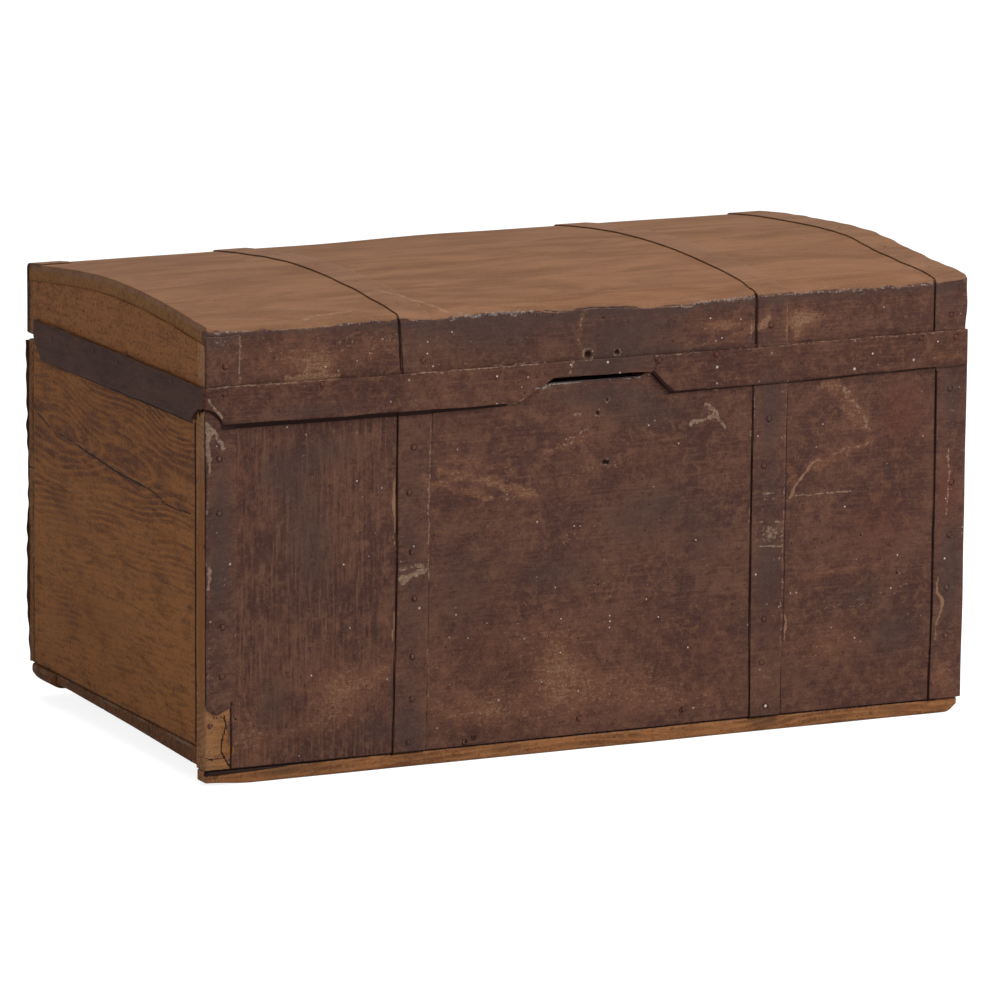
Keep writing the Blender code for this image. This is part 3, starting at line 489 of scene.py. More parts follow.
def rings_of(points, along, pith, taper):
    """Years of growth between each point and the pith, a line along the board that growth leaves.

    A board is a slice through cones of yearly growth, so equal years draw the arches and the
    straight lines of its grain. The years lie closer together further from the pith.
    """
    across = points * (1 - 0.6 * AXES[along])
    bends = 0.0045 * wobble(points, 0.2, 7) + 0.0014 * wobble(across, 0.05, 8)
    apart = np.hypot(*(np.delete(points, along, 1) - np.array(pith)).T)
    radius = apart + bends * (1 - 0.7 * smooth(0.05, 0.11, apart)) - taper * points[:, along]
    return radius / 0.0068 + np.maximum(radius - 0.045, 0) / 0.05


# %% [markdown]
# ## Finishes
# The front is oil paint over wood and iron alike, so both share one paint and differ in what
# shows where it has gone. Node groups hold the paint, the bare wood, the tan top and the marks,
# each built once. The shader stays in each material.
#
# A wire is a node's output that reckons: a sum or a product with it adds a Math node. So the
# materials below read like formulas.

# %% Wires that reckon
def reckon(operation, a, b=0.0):
    """A Math node's value."""
    return add("ShaderNodeMath", {0: a, 1: b}, operation=operation)[0]


class Wire:
    """An output in a node tree."""

    def __init__(self, tree, socket):
        self.tree, self.socket = tree, socket

    def __add__(self, other):
        return reckon('ADD', self, other)

    def __sub__(self, other):
        return reckon('SUBTRACT', self, other)

    def __rsub__(self, other):
        return reckon('SUBTRACT', other, self)

    def __mul__(self, other):
        return reckon('MULTIPLY', self, other)

    def __pow__(self, other):
        return reckon('POWER', self, other)


def wires(tree, sockets):
    """Sockets as wires, by number and by name."""
    return {key: Wire(tree, socket) for number, socket in enumerate(sockets)
            for key in (number, socket.name)}


def feed(sockets, values):
    """Set each input to a value or link it to a wire. A colour gets its full alpha."""
    for key, value in values.items():
        if isinstance(value, Wire):
            value.tree.links.new(value.socket, sockets[key])
        else:
            is_colour = sockets[key].type == 'RGBA'
            sockets[key].default_value = (*value, 1.0) if is_colour else value


def add(kind, inputs, tree=None, **settings):
    """Add a node, set it, feed its inputs and return its outputs. Its tree is its wires' tree."""
    if tree is None:
        tree = next(value.tree for value in inputs.values() if isinstance(value, Wire))
    node = tree.nodes.new(kind)
    for key, value in settings.items():
        setattr(node, key, value)
    feed(node.inputs, inputs)
    return wires(tree, node.outputs)


# %% Nodes by short names
def mix(factor, a, b, way='MIX'):
    """A colour mixed from two by a factor."""
    return add("ShaderNodeMix", {0: factor, 6: a, 7: b}, data_type='RGBA', blend_type=way)[2]


def blend(factor, a, b):
    """A number between two, by a factor."""
    return add("ShaderNodeMix", {0: factor, 2: a, 3: b})[0]


def stack(base, *layers):
    """A colour with others laid over it, each by its own factor."""
    for factor, over in layers:
        base = mix(factor, base, over)
    return base


def rise(value, low, high, top=1.0):
    """0 below low, top above high, smooth between."""
    return add("ShaderNodeMapRange", {"Value": value, "From Min": low, "From Max": high,
                                      "To Max": top}, interpolation_type='SMOOTHSTEP')[0]


def noise(vector, scale, detail=4.0, roughness=0.55, distortion=0.0):
    """A Noise texture's value."""
    return add("ShaderNodeTexNoise", {"Vector": vector, "Scale": scale, "Detail": detail,
                                      "Roughness": roughness, "Distortion": distortion})[0]


def stretch(vector, *scales):
    """A vector scaled along each axis."""
    return add("ShaderNodeVectorMath", {0: vector, 1: scales}, operation='MULTIPLY')[0]


def cells(vector, scale):
    """Distance to the nearest point of a Voronoi texture, and three random numbers of its own."""
    made = add("ShaderNodeTexVoronoi", {"Vector": vector, "Scale": scale, "Randomness": 1.0})
    chance = add("ShaderNodeSeparateColor", {0: made["Color"]})
    return made["Distance"], [chance[i] for i in range(3)]


def group(name, inputs, outputs):
    """An empty node group with named sockets: the group, its inputs as wires, its outputs."""
    tree = bpy.data.node_groups.new(name, "ShaderNodeTree")
    kinds = {"v": "NodeSocketVector", "c": "NodeSocketColor", "f": "NodeSocketFloat"}
    for way, words in (('INPUT', inputs), ('OUTPUT', outputs)):
        for word, kind in words.items():
            tree.interface.new_socket(name=word, in_out=way, socket_type=kinds[kind])
    into = wires(tree, tree.nodes.new("NodeGroupInput").outputs)
    return tree, into, tree.nodes.new("NodeGroupOutput").inputs


# %% [markdown]
# ### Old paint
# Thin red-brown paint, brushed on, has clouds of redder and of darker colour, fine streaks
# along the brush, rubbed places where the ground shows ochre, and specks of later whitewash.

# %% The paint group
PAINT, into, out = group(
    "old paint", {"Vector": "v", "Upright": "f", "Gold": "f", "Blue": "f", "Red": "f"},
    {"Color": "c", "Roughness": "f", "Height": "f"})
place, gold = into["Vector"], into["Gold"]
flat_streaks = noise(stretch(place, 30, 30, 420), 1.0, 5, 0.62, 0.3)
upright_streaks = noise(stretch(place, 380, 380, 26), 1.0, 5, 0.62, 0.3)
streaks = blend(into["Upright"], flat_streaks, upright_streaks)
clouds = noise(place, 14, 6, 0.6, 0.4)
mottle = noise(place, 95, 6, 0.68, 0.5)
crumbs = noise(place, 280, 5, 0.62, 0.8)
grit = noise(place, 620, 4, 0.7)
scuffs = noise(stretch(place, 70, 70, 480), 1.0, 5, 0.7, 0.6)
brushed = into["Upright"] * 0.35 + 0.36
body = mix(rise(clouds, 0.38, 0.62), (0.070, 0.030, 0.024), (0.112, 0.049, 0.034))
body = stack(body, (rise(mottle, 0.51, 0.64, 0.7), (0.156, 0.072, 0.042)),
             (rise(mottle, 0.49, 0.35, 0.65), (0.052, 0.021, 0.017)),
             (rise(streaks, 0.50, 0.68) * brushed, (0.164, 0.079, 0.048)),
             (rise(streaks, 0.48, 0.33) * brushed, (0.046, 0.019, 0.015)),
             (rise(crumbs, 0.53, 0.66, 0.35), (0.170, 0.086, 0.053)),
             (rise(crumbs, 0.47, 0.35, 0.35), (0.046, 0.019, 0.015)))

# %% The paint's stains, rubbed places, flecks and pits
ragged = mottle * 0.9 + grit * 0.5 - 0.7
# The blue mask greys the paint: bluish clouds in it, and along the lid's front arris a painted sheen.
blue = rise(into["Blue"] + ragged, 0.10, 0.85, 0.7)
body = stack(body, (rise(into["Red"] + ragged, 0.15, 0.9, 0.6), (0.115, 0.036, 0.023)),
             (blue, (0.058, 0.036, 0.031)),
             (rise(gold + ragged, 0.05, 1.1, 0.6), (0.172, 0.070, 0.035)))
rubbed = rise(scuffs * 0.5 + crumbs * 0.5 - (0.63 - gold * 0.21), 0.0, 0.16, 0.75)
ochre = mix(rise(grit, 0.4, 0.6), (0.160, 0.082, 0.048), (0.300, 0.172, 0.103))
body = stack(body, (rubbed, ochre), (rise(grit, 0.51, 0.66, 0.2), (0.176, 0.092, 0.060)),
             (rise(grit, 0.48, 0.34, 0.25), (0.040, 0.017, 0.013)))
distance, chance = cells(place, 150.0)
fleck = rise(chance[1] ** 2.5 * 0.12 + 0.13 - distance, 0.0, 0.03) * rise(chance[0], 0.91, 0.915)
body = mix(fleck * (chance[2] + 0.15), body, (0.52, 0.45, 0.39))
distance, chance = cells(place, 210.0)
pit = rise(distance, 0.30, 0.14) * rise(chance[1], 0.965, 0.97)
body = mix(pit * 0.7, body, (0.021, 0.010, 0.008))
feed(out, {"Color": body, "Roughness": 0.62 - blue * 0.14 + grit * 0.12,
           "Height": streaks * 0.6 + grit * 0.35 - rubbed * 0.3})
print("paint group:", len(PAINT.nodes), "nodes")

# %% [markdown]
# ### Bare wood
# Softwood shows a dark line for each late summer. The distance to the pith, stored on the
# points, gives where those lines run, and noise drawn out along the grain gives the fibres.

# %% The wood group
WOOD, into, out = group(
    "bare wood", {"Vector": "v", "Place": "v", "Rings": "f", "Figure": "f", "Pits": "f",
                  "Light": "c", "Dark": "c", "Red": "f", "Blue": "f", "Gold": "f"},
    {"Color": "c", "Height": "f"})
along_grain, place, light, dark = (into[word] for word in ("Vector", "Place", "Light", "Dark"))
fibres = noise(along_grain, 1.0, 6, 0.66, 0.4)
pits = noise(place, 330, 4, 0.66, 0.6)
broad = noise(stretch(along_grain, 0.16, 0.16, 0.16), 1.0, 5, 0.6, 0.8)
blotch = noise(place, 24, 5, 0.62, 0.8)
patches = noise(along_grain, 0.45, 5, 0.66, 1.0)
years = into["Rings"] + (broad - 0.5) * 0.9 + (fibres - 0.5) * 0.55 + (pits - 0.5) * 0.2
phase = reckon('FRACT', years)
late = rise(phase, 0.14, 0.50) * rise(phase, 1.0, 0.90) * (rise(broad, 0.38, 0.62, 0.75) + 0.18)
violet = rise(into["Red"] + broad, 0.75, 1.3, 0.85) * (late + 0.3)


# %% The wood's layers
def tinted(colour, *scales):
    """One of the wood's own colours, each channel scaled."""
    return mix(1.0, colour, scales, 'MULTIPLY')


timber = mix(late * into["Figure"], light, dark)
timber = mix(violet, timber, mix(0.2, dark, (0.150, 0.056, 0.040)))
for field, lighter, darker in (
        (blotch, (0.50, 0.66, 0.35, 1.10, 1.10, 1.0), (0.48, 0.34, 0.4, 0.75, 0.72, 0.75)),
        (patches, (0.50, 0.64, 0.45, 1.12, 1.0, 0.95), (0.48, 0.34, 0.55, 0.66, 0.60, 0.66)),
        (fibres, (0.52, 0.68, 0.35, 1.25, 1.35, 1.4), (0.46, 0.33, 0.45, 0.5, 0.45, 0.5)),
        (pits, (0.55, 0.66, 0.4, 1.35, 1.5, 1.6), (0.43, 0.34, 0.6, 0.35, 0.32, 0.4))):
    for own, (low, high, top, *scales) in ((light, lighter), (dark, darker)):
        factor = rise(field, low, high, top)
        factor = factor * into["Pits"] if field is pits else factor
        timber = mix(factor, timber, tinted(own, *scales))
timber = stack(timber, (rise(into["Blue"] + fibres, 0.65, 1.4, 0.6), (0.095, 0.044, 0.024)),
               (rise(into["Gold"] + fibres, 0.65, 1.3, 0.85), (0.205, 0.072, 0.012)))
feed(out, {"Color": timber, "Height": fibres - late * 0.4})
print("wood group:", len(WOOD.nodes), "nodes")

# %% [markdown]
# ### The tan top
# The lid's top has lost its red paint and is rubbed to an even tan, streaked along the boards
# and smeared where things were slid across it. It covers boards and straps alike.

# %% The tan group
TAN, into, out = group("tan top", {"Vector": "v", "Pale": "f", "Dark": "f", "Red": "f", "Gold": "f"},
                       {"Color": "c", "Height": "f"})
grain = noise(stretch(into["Vector"], 16, 300, 300), 1.0, 6, 0.6, 0.3)
smear = noise(stretch(into["Vector"], 7, 22, 22), 1.0, 7, 0.64, 1.2)
dust = noise(into["Vector"], 420, 4, 0.7)
tan = mix(rise(smear, 0.34, 0.66), (0.160, 0.072, 0.034), (0.226, 0.108, 0.054))
tan = stack(tan, (rise(grain, 0.50, 0.72, 0.35), (0.276, 0.148, 0.081)),
            (rise(grain, 0.48, 0.30, 0.35), (0.124, 0.051, 0.029)),
            (rise(into["Pale"] + grain, 0.7, 1.3, 0.6), (0.321, 0.180, 0.106)),
            (rise(into["Red"] + smear, 0.7, 1.3, 0.6), (0.202, 0.077, 0.044)),
            (rise(into["Gold"] + smear, 0.7, 1.3, 0.5), (0.247, 0.115, 0.051)),
            (rise(into["Dark"] + smear, 0.68, 1.2, 0.6), (0.112, 0.052, 0.034)),
            (rise(dust, 0.56, 0.68, 0.4), (0.120, 0.052, 0.030)),
            (rise(dust, 0.44, 0.34, 0.3), (0.300, 0.165, 0.100)))
feed(out, {"Color": tan, "Height": grain * 0.6 + dust * 0.3})
print("tan group:", len(TAN.nodes), "nodes")

# %% [markdown]
# ### Layers
# A finish stacks these layers: what the piece is made of, the tan coat, the paint, then the
# marks, among them painted highlights and painted shade. Each layer's mask is an attribute made
# ragged by noise, so its edge flakes.

# %% The mask group
RAGGED, into, out = group("ragged mask", {"Vector": "v", "Mask": "f", "Scale": "f", "Spread": "f"},
                          {"Mask": "f"})
torn = (noise(into["Vector"], into["Scale"], 6, 0.66, 0.4) - 0.5) * into["Spread"]
feed(out, {"Mask": rise(into["Mask"] + torn, 0.38, 0.62)})


# %% Build a finish
def finish(name, light, dark, along, metal=0.0, roughness=0.62, bump=0.35, sheen=0.10, pits=1.0):
    """A layered material over wood or iron, whose grain runs along one axis (0, 1 or 2)."""
    made = bpy.data.materials.new(name)
    made.use_nodes = True
    tree = made.node_tree
    shader = tree.nodes["Principled BSDF"]
    place = add("ShaderNodeTexCoord", {}, tree)["Object"]
    mark = {word: add("ShaderNodeAttribute", {}, tree, attribute_name=word)["Fac"]
            for word in KINDS + ("edge", "cover", "top", "rings", "figure", "upright")}

    def use(made_group, words, **others):
        """Place a node group, fed with the marks of its own names."""
        inputs = {word.title(): mark[word] for word in words.split()} | others
        return add("ShaderNodeGroup", {"Vector": place} | inputs, node_tree=made_group)

    def ragged(mask, scale, spread):
        return use(RAGGED, "", Mask=mask, Scale=scale, Spread=spread)[0]

    scales = [260.0, 260.0, 260.0]
    scales[along] = 40.0
    under = use(WOOD, "rings figure red blue gold", Vector=stretch(place, *scales), Place=place,
                Pits=pits, Light=light, Dark=dark)
    tan = use(TAN, "pale dark red gold")
    paint = use(PAINT, "upright gold blue red")
    tanned, painted = ragged(mark["top"], 70.0, 0.9), ragged(mark["cover"], 110.0, 1.0)
    scraped = mix(noise(stretch(place, 300, 300, 40), 1.0), (0.150, 0.074, 0.042), (0.30, 0.165, 0.095))
    crumbly = noise(stretch(place, 260, 260, 620), 1.0, 4, 0.7, 0.5)
    smeared = ragged(mark["pale"] * 0.72, 240.0, 2.2) * (rise(crumbly, 0.40, 0.60, 0.45) + 0.4)
    surface = stack(under["Color"], (tanned, tan["Color"]), (painted, paint["Color"]),
                    (ragged(mark["bare"] * 0.8, 300.0, 1.5), scraped),
                    (smeared, (0.290, 0.190, 0.130)),
                    # Bright worn edges with painted highlights.
                    (ragged(mark["highlight_and_wear"] * 0.7, 420.0, 2.6) * 0.6, (0.30, 0.265, 0.245)),
                    # Lighter arrises: rubbed edges, and on the lid's front arris a painted sheen.
                    (ragged(mark["edge"] * 0.62, 160.0, 1.7) * 0.35, (0.25, 0.165, 0.12)),
                    # Dark marks: dark lines, and painted shade and shadows at edges, gaps and holes;
                    # they also sink the bump.
                    (ragged(mark["dark"] * 0.8, 300.0, 0.55), (0.024, 0.0095, 0.007)))
    height = blend(tanned, blend(painted, under["Height"], paint["Height"]), tan["Height"])
    relief = add("ShaderNodeBump", {"Height": height - mark["dark"] * 0.8, "Strength": bump,
                                    "Distance": 0.0008})
    feed(shader.inputs, {"Base Color": surface, "Normal": relief["Normal"],
                         "Roughness": blend(painted, roughness, paint["Roughness"]),
                         "Specular IOR Level": sheen})
    if metal:
        feed(shader.inputs, {"Metallic": (1.0 - painted) * metal * (1.0 - tanned)})
    return made


FINISHES = {
    "boards": finish("front boards", (0.290, 0.138, 0.060), (0.170, 0.072, 0.028), 0),
    "ends": finish("end boards", (0.264, 0.100, 0.026), (0.108, 0.035, 0.010), 1, bump=0.7),
    "lid ends": finish("lid end boards", (0.258, 0.098, 0.031), (0.140, 0.050, 0.015), 1, bump=0.9,
                       pits=1.9),
    "rails": finish("back boards", (0.20, 0.085, 0.030), (0.10, 0.040, 0.016), 0, bump=0.5),
    "staves": finish("lid staves", (0.225, 0.098, 0.030), (0.185, 0.078, 0.022), 0),
    "pale": finish("pale strip", (0.290, 0.124, 0.048), (0.16, 0.062, 0.022), 0, bump=0.5),
    "bottom": finish("bottom planks", (0.150, 0.058, 0.020), (0.085, 0.030, 0.010), 0, bump=0.6),
    "iron": finish("painted iron", (0.075, 0.036, 0.027), (0.045, 0.022, 0.017), 2, 0.2, 0.5, 0.25,
                   0.12),
    "rim": finish("dark rim iron", (0.074, 0.033, 0.023), (0.052, 0.023, 0.016), 1, 0.0, 0.55, 0.3,
                  0.07),
}
STEEL = finish("old bare iron", (0.075, 0.055, 0.046), (0.038, 0.027, 0.023), 0, 0.5, 0.45, 0.3, 0.3)
print("finishes:", ", ".join(FINISHES))


# %% [markdown]
# ## Putting a piece in its place
# A finished piece rides on its body, stands for its CAD node, and carries the values that its
# material reads: the marks, the worn arris, how far paint and tan coat reach, the rings. One
# slow warp bends everything alike, so an iron still lies on its board where that is hollow.

# %% Finish a piece
BODY_OF = {node: body for body, nodes in BODIES.items() for node in nodes}


def warp(points, amount=0.00045):
    """Move points by slow random fields of the whole chest, one for each axis."""
    shift = np.stack([wobble(points, size, seed) for size, seed in ((0.5, 1), (0.13, 2), (0.4, 3))], 1)
    shift[:, 2] *= smooth(0, 0.04, points[:, 2])
    return points + amount * shift * np.array([1.0, 0.8, 1.0])


def store(mesh, values):
    """Keep named numbers on the points of a mesh, for its material to read."""
    for word, value in values.items():
        layer = mesh.attributes.new(word, 'FLOAT', 'POINT')
        spread = np.broadcast_to(value, len(mesh.vertices))
        layer.data.foreach_set("value", np.ascontiguousarray(spread, np.float32))


def dress(node, grid, arris, look, faces=(), cover=0.0, top=0.0, pith=None, upright=0.0,
          taper=0.03, along=0, figure=1.0, tag="_worn"):
    """Turn a grid into the piece that stands for a node, with its attributes and material."""
    points = grid.reshape(-1, 3)
    if pith is None:
        pith = np.delete(points.mean(0), along) - 0.012
    values = marks_on(points, faces) | {
        "edge": arris.ravel() * (0.75 + 0.35 * wobble(points, 0.03, 3)),
        "rings": rings_of(points, along, pith, taper),
        "cover": cover, "top": top, "upright": upright, "figure": figure}
    piece = skin(node + tag, warp(points).reshape(grid.shape))
    store(piece.data, values)
    piece.data.materials.append(FINISHES[look])
    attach(piece, BODY_OF[node])
    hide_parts(node)
    return piece


# %% [markdown]
# ## Boards
# Each board is carried along its grain. Its arrises are rounded and uneven, and the holes of
# old fastenings are pressed into the front.

# %% A board from its CAD box
def board_grid(node, along, counts, radius=0.0016, step=MEDIUM):
    """Grid of a board: the node's box as a rounded rectangle carried along one axis."""
    low, high = (np.array(corner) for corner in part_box(node))
    middle, half = (low + high) / 2, (high - low) / 2
    across, up = [(1, 2), (0, 2), (0, 1)][along]
    stations = np.linspace(low[along] + radius, high[along] - radius,
                           max(4, round((high[along] - low[along]) / step)))
    path = np.repeat(middle[None], len(stations), 0)
    path[:, along] = stations
    return carry(path, AXES[across], AXES[up], half[across], half[up], radius, counts)


def press_holes(points):
    """Push the front in round each hole, to its depth, on a bell a little wider than the hole."""
    on = in_front(points, 0.003)
    across, _, above = chalked(points[on])
    for x, z, radius, depth in FRONT_HOLES:
        distance = np.hypot(across - x, above - z)
        points[on, 1] += depth * MM * (1 - smooth(0.5 * radius, 1.25 * radius, distance))
    return points


def on_front(points):
    """Paint on the front, ending just round its arris."""
    return 1.4 * (1 - smooth(FRONT + 0.0012, FRONT + 0.003, points[:, 1]))


# %% The two front boards
END_GRAIN_X, TORN_Z = LEFT + 0.0245, 0.0765  # bare corner below the torn iron
SLOT_DEPTH = 0.0048
for node in ("front_board_upper", "front_board_lower"):
    low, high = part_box(node)
    rows = round((high.z - low.z) / BOARD_STEP)
    grid, arris = board_grid(node, 0, (3, rows // 4, 3, rows), 0.0005, BOARD_STEP)
    points = press_holes(grid.reshape(-1, 3))
    cover = on_front(points)
    across = chalked(points)[0]
    if node == "front_board_upper":
        slot = smooth(-62, -45, across) * (1 - smooth(48, 64, across))
        points[:, 2] -= slot * smooth(0.345, CASE_TOP, points[:, 2]) * SLOT_DEPTH
        points[:, 2] -= 0.00025 * (1 - smooth(low.z, low.z + 0.002, points[:, 2]))
    else:
        split = 0.003 * wobble(points, 0.02, 6)
        torn_off = (points[:, 0] < END_GRAIN_X + split) * (points[:, 2] < TORN_Z + split)
        cover -= 1.8 * torn_off
    from_joint = np.abs(points[:, 2] - JOINT_Z)
    points[(from_joint < 0.0008) & in_front(points, 0.0006), 1] = FRONT
    seam = (np.abs(points[:, 2] - JOINT_Z) > 0.003).reshape(arris.shape)
    piece = dress(node, points.reshape(grid.shape), arris * seam, "boards", ("front", "end"),
                  cover=cover, upright=1 - smooth(-235, -190, across),
                  pith=(FRONT + 0.03, (low.z + high.z) / 2))
    print(node, len(piece.data.polygons), "faces")

# %% [markdown]
# ## Ends, back, bottom and runners
# The left end shows its grain best: arches where the saw ran near the heart of the tree, and
# close straight lines below. Its pith lies a little behind the face.

# %% Ends, back, bottom and runners
HEART_Z = 0.286
BOARDS = {
    # node: grain axis, counts, finish, step, corner radius, faces with marks, pith, taper
    "left_end_board": (1, (3, 8, 4, 210), "ends", 0.0016, 0.002, ("end",), (LEFT + 0.018, HEART_Z),
                       0.09),
    "right_end_board": (1, (3, 100, 4, 8), "ends", MEDIUM, 0.002, (), (RIGHT - 0.03, 0.20), 0.06),
    "back_board_upper": (0, (3, 30, 3, 8), "rails", COARSE, 0.002, ("end",), (BACK - 0.02, 0.31),
                         0.03),
    "back_board_lower": (0, (3, 40, 3, 10), "rails", COARSE, 0.002, ("end",), (BACK - 0.04, 0.12),
                         0.03),
    **{f"bottom_plank_{number}": (0, (16, 6, 16, 6), "bottom", COARSE, 0.002, (), None, 0.02)
       for number in (1, 2, 3)},
    "bottom_plank_back": (0, (14, 8, 14, 8), "bottom", MEDIUM, 0.0055, (), None, 0.02),
    "front_runner": (0, (8, 6, 8, 12), "pale", MEDIUM, 0.0025, ("front",), None, 0.02),
    "back_runner": (0, (12, 6, 12, 6), "pale", COARSE, 0.002, (), None, 0.02),
}


def wear_below(node, points):
    """Raise the worn ends of runner and rear plank, and the underside of the sagging planks."""
    low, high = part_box(node)
    below = (high.z - points[:, 2]) / (high.z - low.z)
    if node == "front_runner":
        right = smooth(high.x - 0.016, high.x, points[:, 0]) ** 2
        left = 1 - smooth(low.x, low.x + 0.05, points[:, 0])
        points[:, 2] += below * (0.0075 * right + 0.003 * left)
    elif node == "bottom_plank_back":
        left = 1 - smooth(low.x, low.x + 0.018, points[:, 0])
        points[:, 0] += 0.005 * left * smooth(high.y - 0.03, high.y, points[:, 1])
        points[:, 2] += 0.004 * left ** 2 * below
    elif node.startswith("bottom_plank"):
        underside = np.interp(chalked(points)[1], (-175, -102, -27, 48, 126),
                              (16.8, 19.3, 21.8, 23.6, 25.4)) * MM
        points[:, 2] += (underside - low.z) * below


for node, (along, counts, look, step, radius, faces, pith, taper) in BOARDS.items():
    grid, arris = board_grid(node, along, counts, radius, step)
    wear_below(node, grid.reshape(-1, 3))
    far = smooth(0.05, 0.12, HEART_Z - grid[..., 2].ravel()) if node == "left_end_board" else 0
    dress(node, grid, arris, look, faces, pith=pith, taper=taper, along=along, figure=1 - 0.7 * far)
print("plain boards:", len(BOARDS))

# %% [markdown]
# ## The lid
# The staves lie side by side over curved end boards. A stave is a flat board first, and then
# each of its points is lifted by the height of the crown above it, which bends it to the arc.
# The front arris of the lid is worn down unevenly, and the irons that cross it follow.

# %% The worn front arris
STAVE_T, EDGE_R = 0.0175, 0.005
PAINT_ENDS = {  # x: height on the front, both in mm
    -410: 443.4, -380: 441, -300: 439.6, -260: 440.5, -230: 442, -200: 441.2, -180: 438.5,
    -165: 438.5, -140: 440, -115: 441.3, -90: 440.5, -60: 439.5, -40: 436.8, 0: 437.8, 40: 436.5,
    60: 434.6, 100: 434.6, 120: 437, 160: 438.4, 200: 439.6, 260: 438, 340: 437.4, 380: 439,
    410: 441}


def paint_end(points):
    """Height on the lid's front where the paint ends and the rubbed arris begins."""
    return np.interp(chalked(points)[0], list(PAINT_ENDS), list(PAINT_ENDS.values())) * MM


def lid_paint(points):
    """Paint on the worn lid: everywhere below paint_end, on the front and its arris alone."""
    edge = points[:, 2] - paint_end(points) + 0.0010 + 0.0004 * wobble(points * X, 0.012, 9)
    return 1.4 * (1 - smooth(-0.0008, 0.0008, edge)) * in_front(points, 0.012)


def tan_coat(points):
    """The tan coat on the lid: whole on its top, fading out just below the crown."""
    return 1.4 * smooth(-0.0075, -0.004, points[:, 2] - crown(points[:, 1]))


def wear_arris(points):
    """Lower the lid's front arris by a depth that varies along it, fading out behind and below."""
    depth = EDGE_Z - 0.0028 - paint_end(points)
    depth = depth + 0.0002 * wobble(points * X, 0.04, 5)
    reach = 1 - smooth(0.0, 0.032, points[:, 1] - FRONT)
    points[:, 2] -= depth * reach * smooth(-0.016, -0.003, points[:, 2] - EDGE_Z)
    return points


def settle(points):
    """Lower the lid's rear left and its front right corner, each by a product of two ramps."""
    x, y, _ = chalked(points)
    rear_left = -0.0034 * (1 - smooth(-110, 60, x)) * smooth(0, 190, y)
    sunk = np.interp(y, (-206, -143, -85, -28, 30, 90), (-1.5, -4.0, -2.7, 1.8, 1.5, 0)) * MM
    right_end = sunk * smooth(300, 385, x)
    points[:, 2] += (rear_left + right_end) * smooth(0.405, 0.435, points[:, 2])
    return points


# %% Staves on the crown
def stave_grid(low, high, first, last):
    """A flat board of the stave's plan, rounded at the lid's outer arrises, lifted by the crown."""
    step, inset, radius = 0.002, 0.0015, 0.0003
    columns = round((high[1] - low[1]) / step)
    stations = np.linspace(low[0] + inset, high[0] - inset, round((high[0] - low[0]) / step))
    path = stations[:, None] * X + Y * (low[1] + high[1]) / 2 - Z * STAVE_T / 2
    grid, arris = carry(path, Y, Z, (high[1] - low[1]) / 2, STAVE_T / 2, radius,
                        (columns // 3, 10, columns, 10))
    points = grid.reshape(-1, 3)
    height = points[:, 2] + STAVE_T
    for gap, rounded in ((points[:, 1] - FRONT, first), (BACK - points[:, 1], last)):
        if rounded:
            inside = np.clip(EDGE_R - gap, 0, EDGE_R)
            drop = EDGE_R - np.sqrt(EDGE_R ** 2 - inside ** 2)
            points[:, 2] -= drop * smooth(0, STAVE_T, height)
    points[:, 2] += crown(points[:, 1])
    return grid, arris


for number in range(1, 6):
    node = f"lid_stave_{number}"
    low, high = (np.array(corner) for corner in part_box(node))
    grid, arris = stave_grid(low, high, number == 1, number == 5)
    points = grid.reshape(-1, 3)
    top = tan_coat(points) * (points[:, 0] > LEFT + 0.001)
    # On the staves the lighter arris is kept only along the lid's front arris, as a painted sheen.
    arris = arris * (in_front(points, 0.002) & (points[:, 2] > 0.436)).reshape(arris.shape)
    settle(wear_arris(points))
    dress(node, grid, arris, "staves", ("front", "top", "end"), cover=lid_paint(points), top=top,
          pith=((low[1] + high[1]) / 2, low[2] - 0.01))
print("staves: 5")


# %% Boards under the staves
def lid_wall(node, along, counts, look, step, faces, painted=False, pith=None):
    """A board whose upper edge follows the underside of the crown."""
    low, high = (np.array(corner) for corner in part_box(node))
    grid, arris = board_grid(node, along, counts, 0.0003, step)
    points = grid.reshape(-1, 3)
    ceiling = crown(points[:, 1]) - STAVE_T + 0.0004
    points[:, 2] = low[2] + (points[:, 2] - low[2]) / (high[2] - low[2]) * (ceiling - low[2])
    settle(press_holes(points))
    return dress(node, grid, arris, look, faces, cover=on_front(points) if painted else 0.0,
                 along=along, pith=pith, figure=0.25)


lid_wall("lid_front_board", 0, (4, 10, 4, 40), "boards", FINE, ("front",), True)
lid_wall("lid_left_end_board", 1, (3, 8, 4, 50), "lid ends", 0.0018, ("end",),
         pith=(LEFT + 0.03, 0.30))
lid_wall("lid_right_end_board", 1, (3, 30, 4, 8), "lid ends", MEDIUM, ())
lid_wall("lid_back_board", 0, (4, 24, 4, 8), "rails", COARSE, ("end",))

# %% [markdown]
# ## Irons
# Each iron is a flat bar carried along its path: up a wall, over the crown, or round the lid.
# Its width varies, its edges wander, and it lies a hair off the wood.

# %% An iron along a path
STRAP_T, LIFT = 0.0012, 0.0003


def iron_grid(path, across, up, low_edge, high_edge, thickness=STRAP_T, lift=LIFT):
    """A bar between two edges, given as distances along across, its inner face lift off the path."""
    low_edge, high_edge = (np.broadcast_to(edge, len(path)) for edge in (low_edge, high_edge))
    across, up = np.broadcast_to(across, path.shape), np.broadcast_to(up, path.shape)
    centre = path + across * ((low_edge + high_edge) / 2)[:, None] + up * (lift + thickness / 2)
    columns = max(4, round(float(np.max(high_edge - low_edge)) / FINE))
    return carry(centre, across, up, (high_edge - low_edge) / 2, thickness / 2,
                 0.00045, (columns // 3, 1, columns, 1))


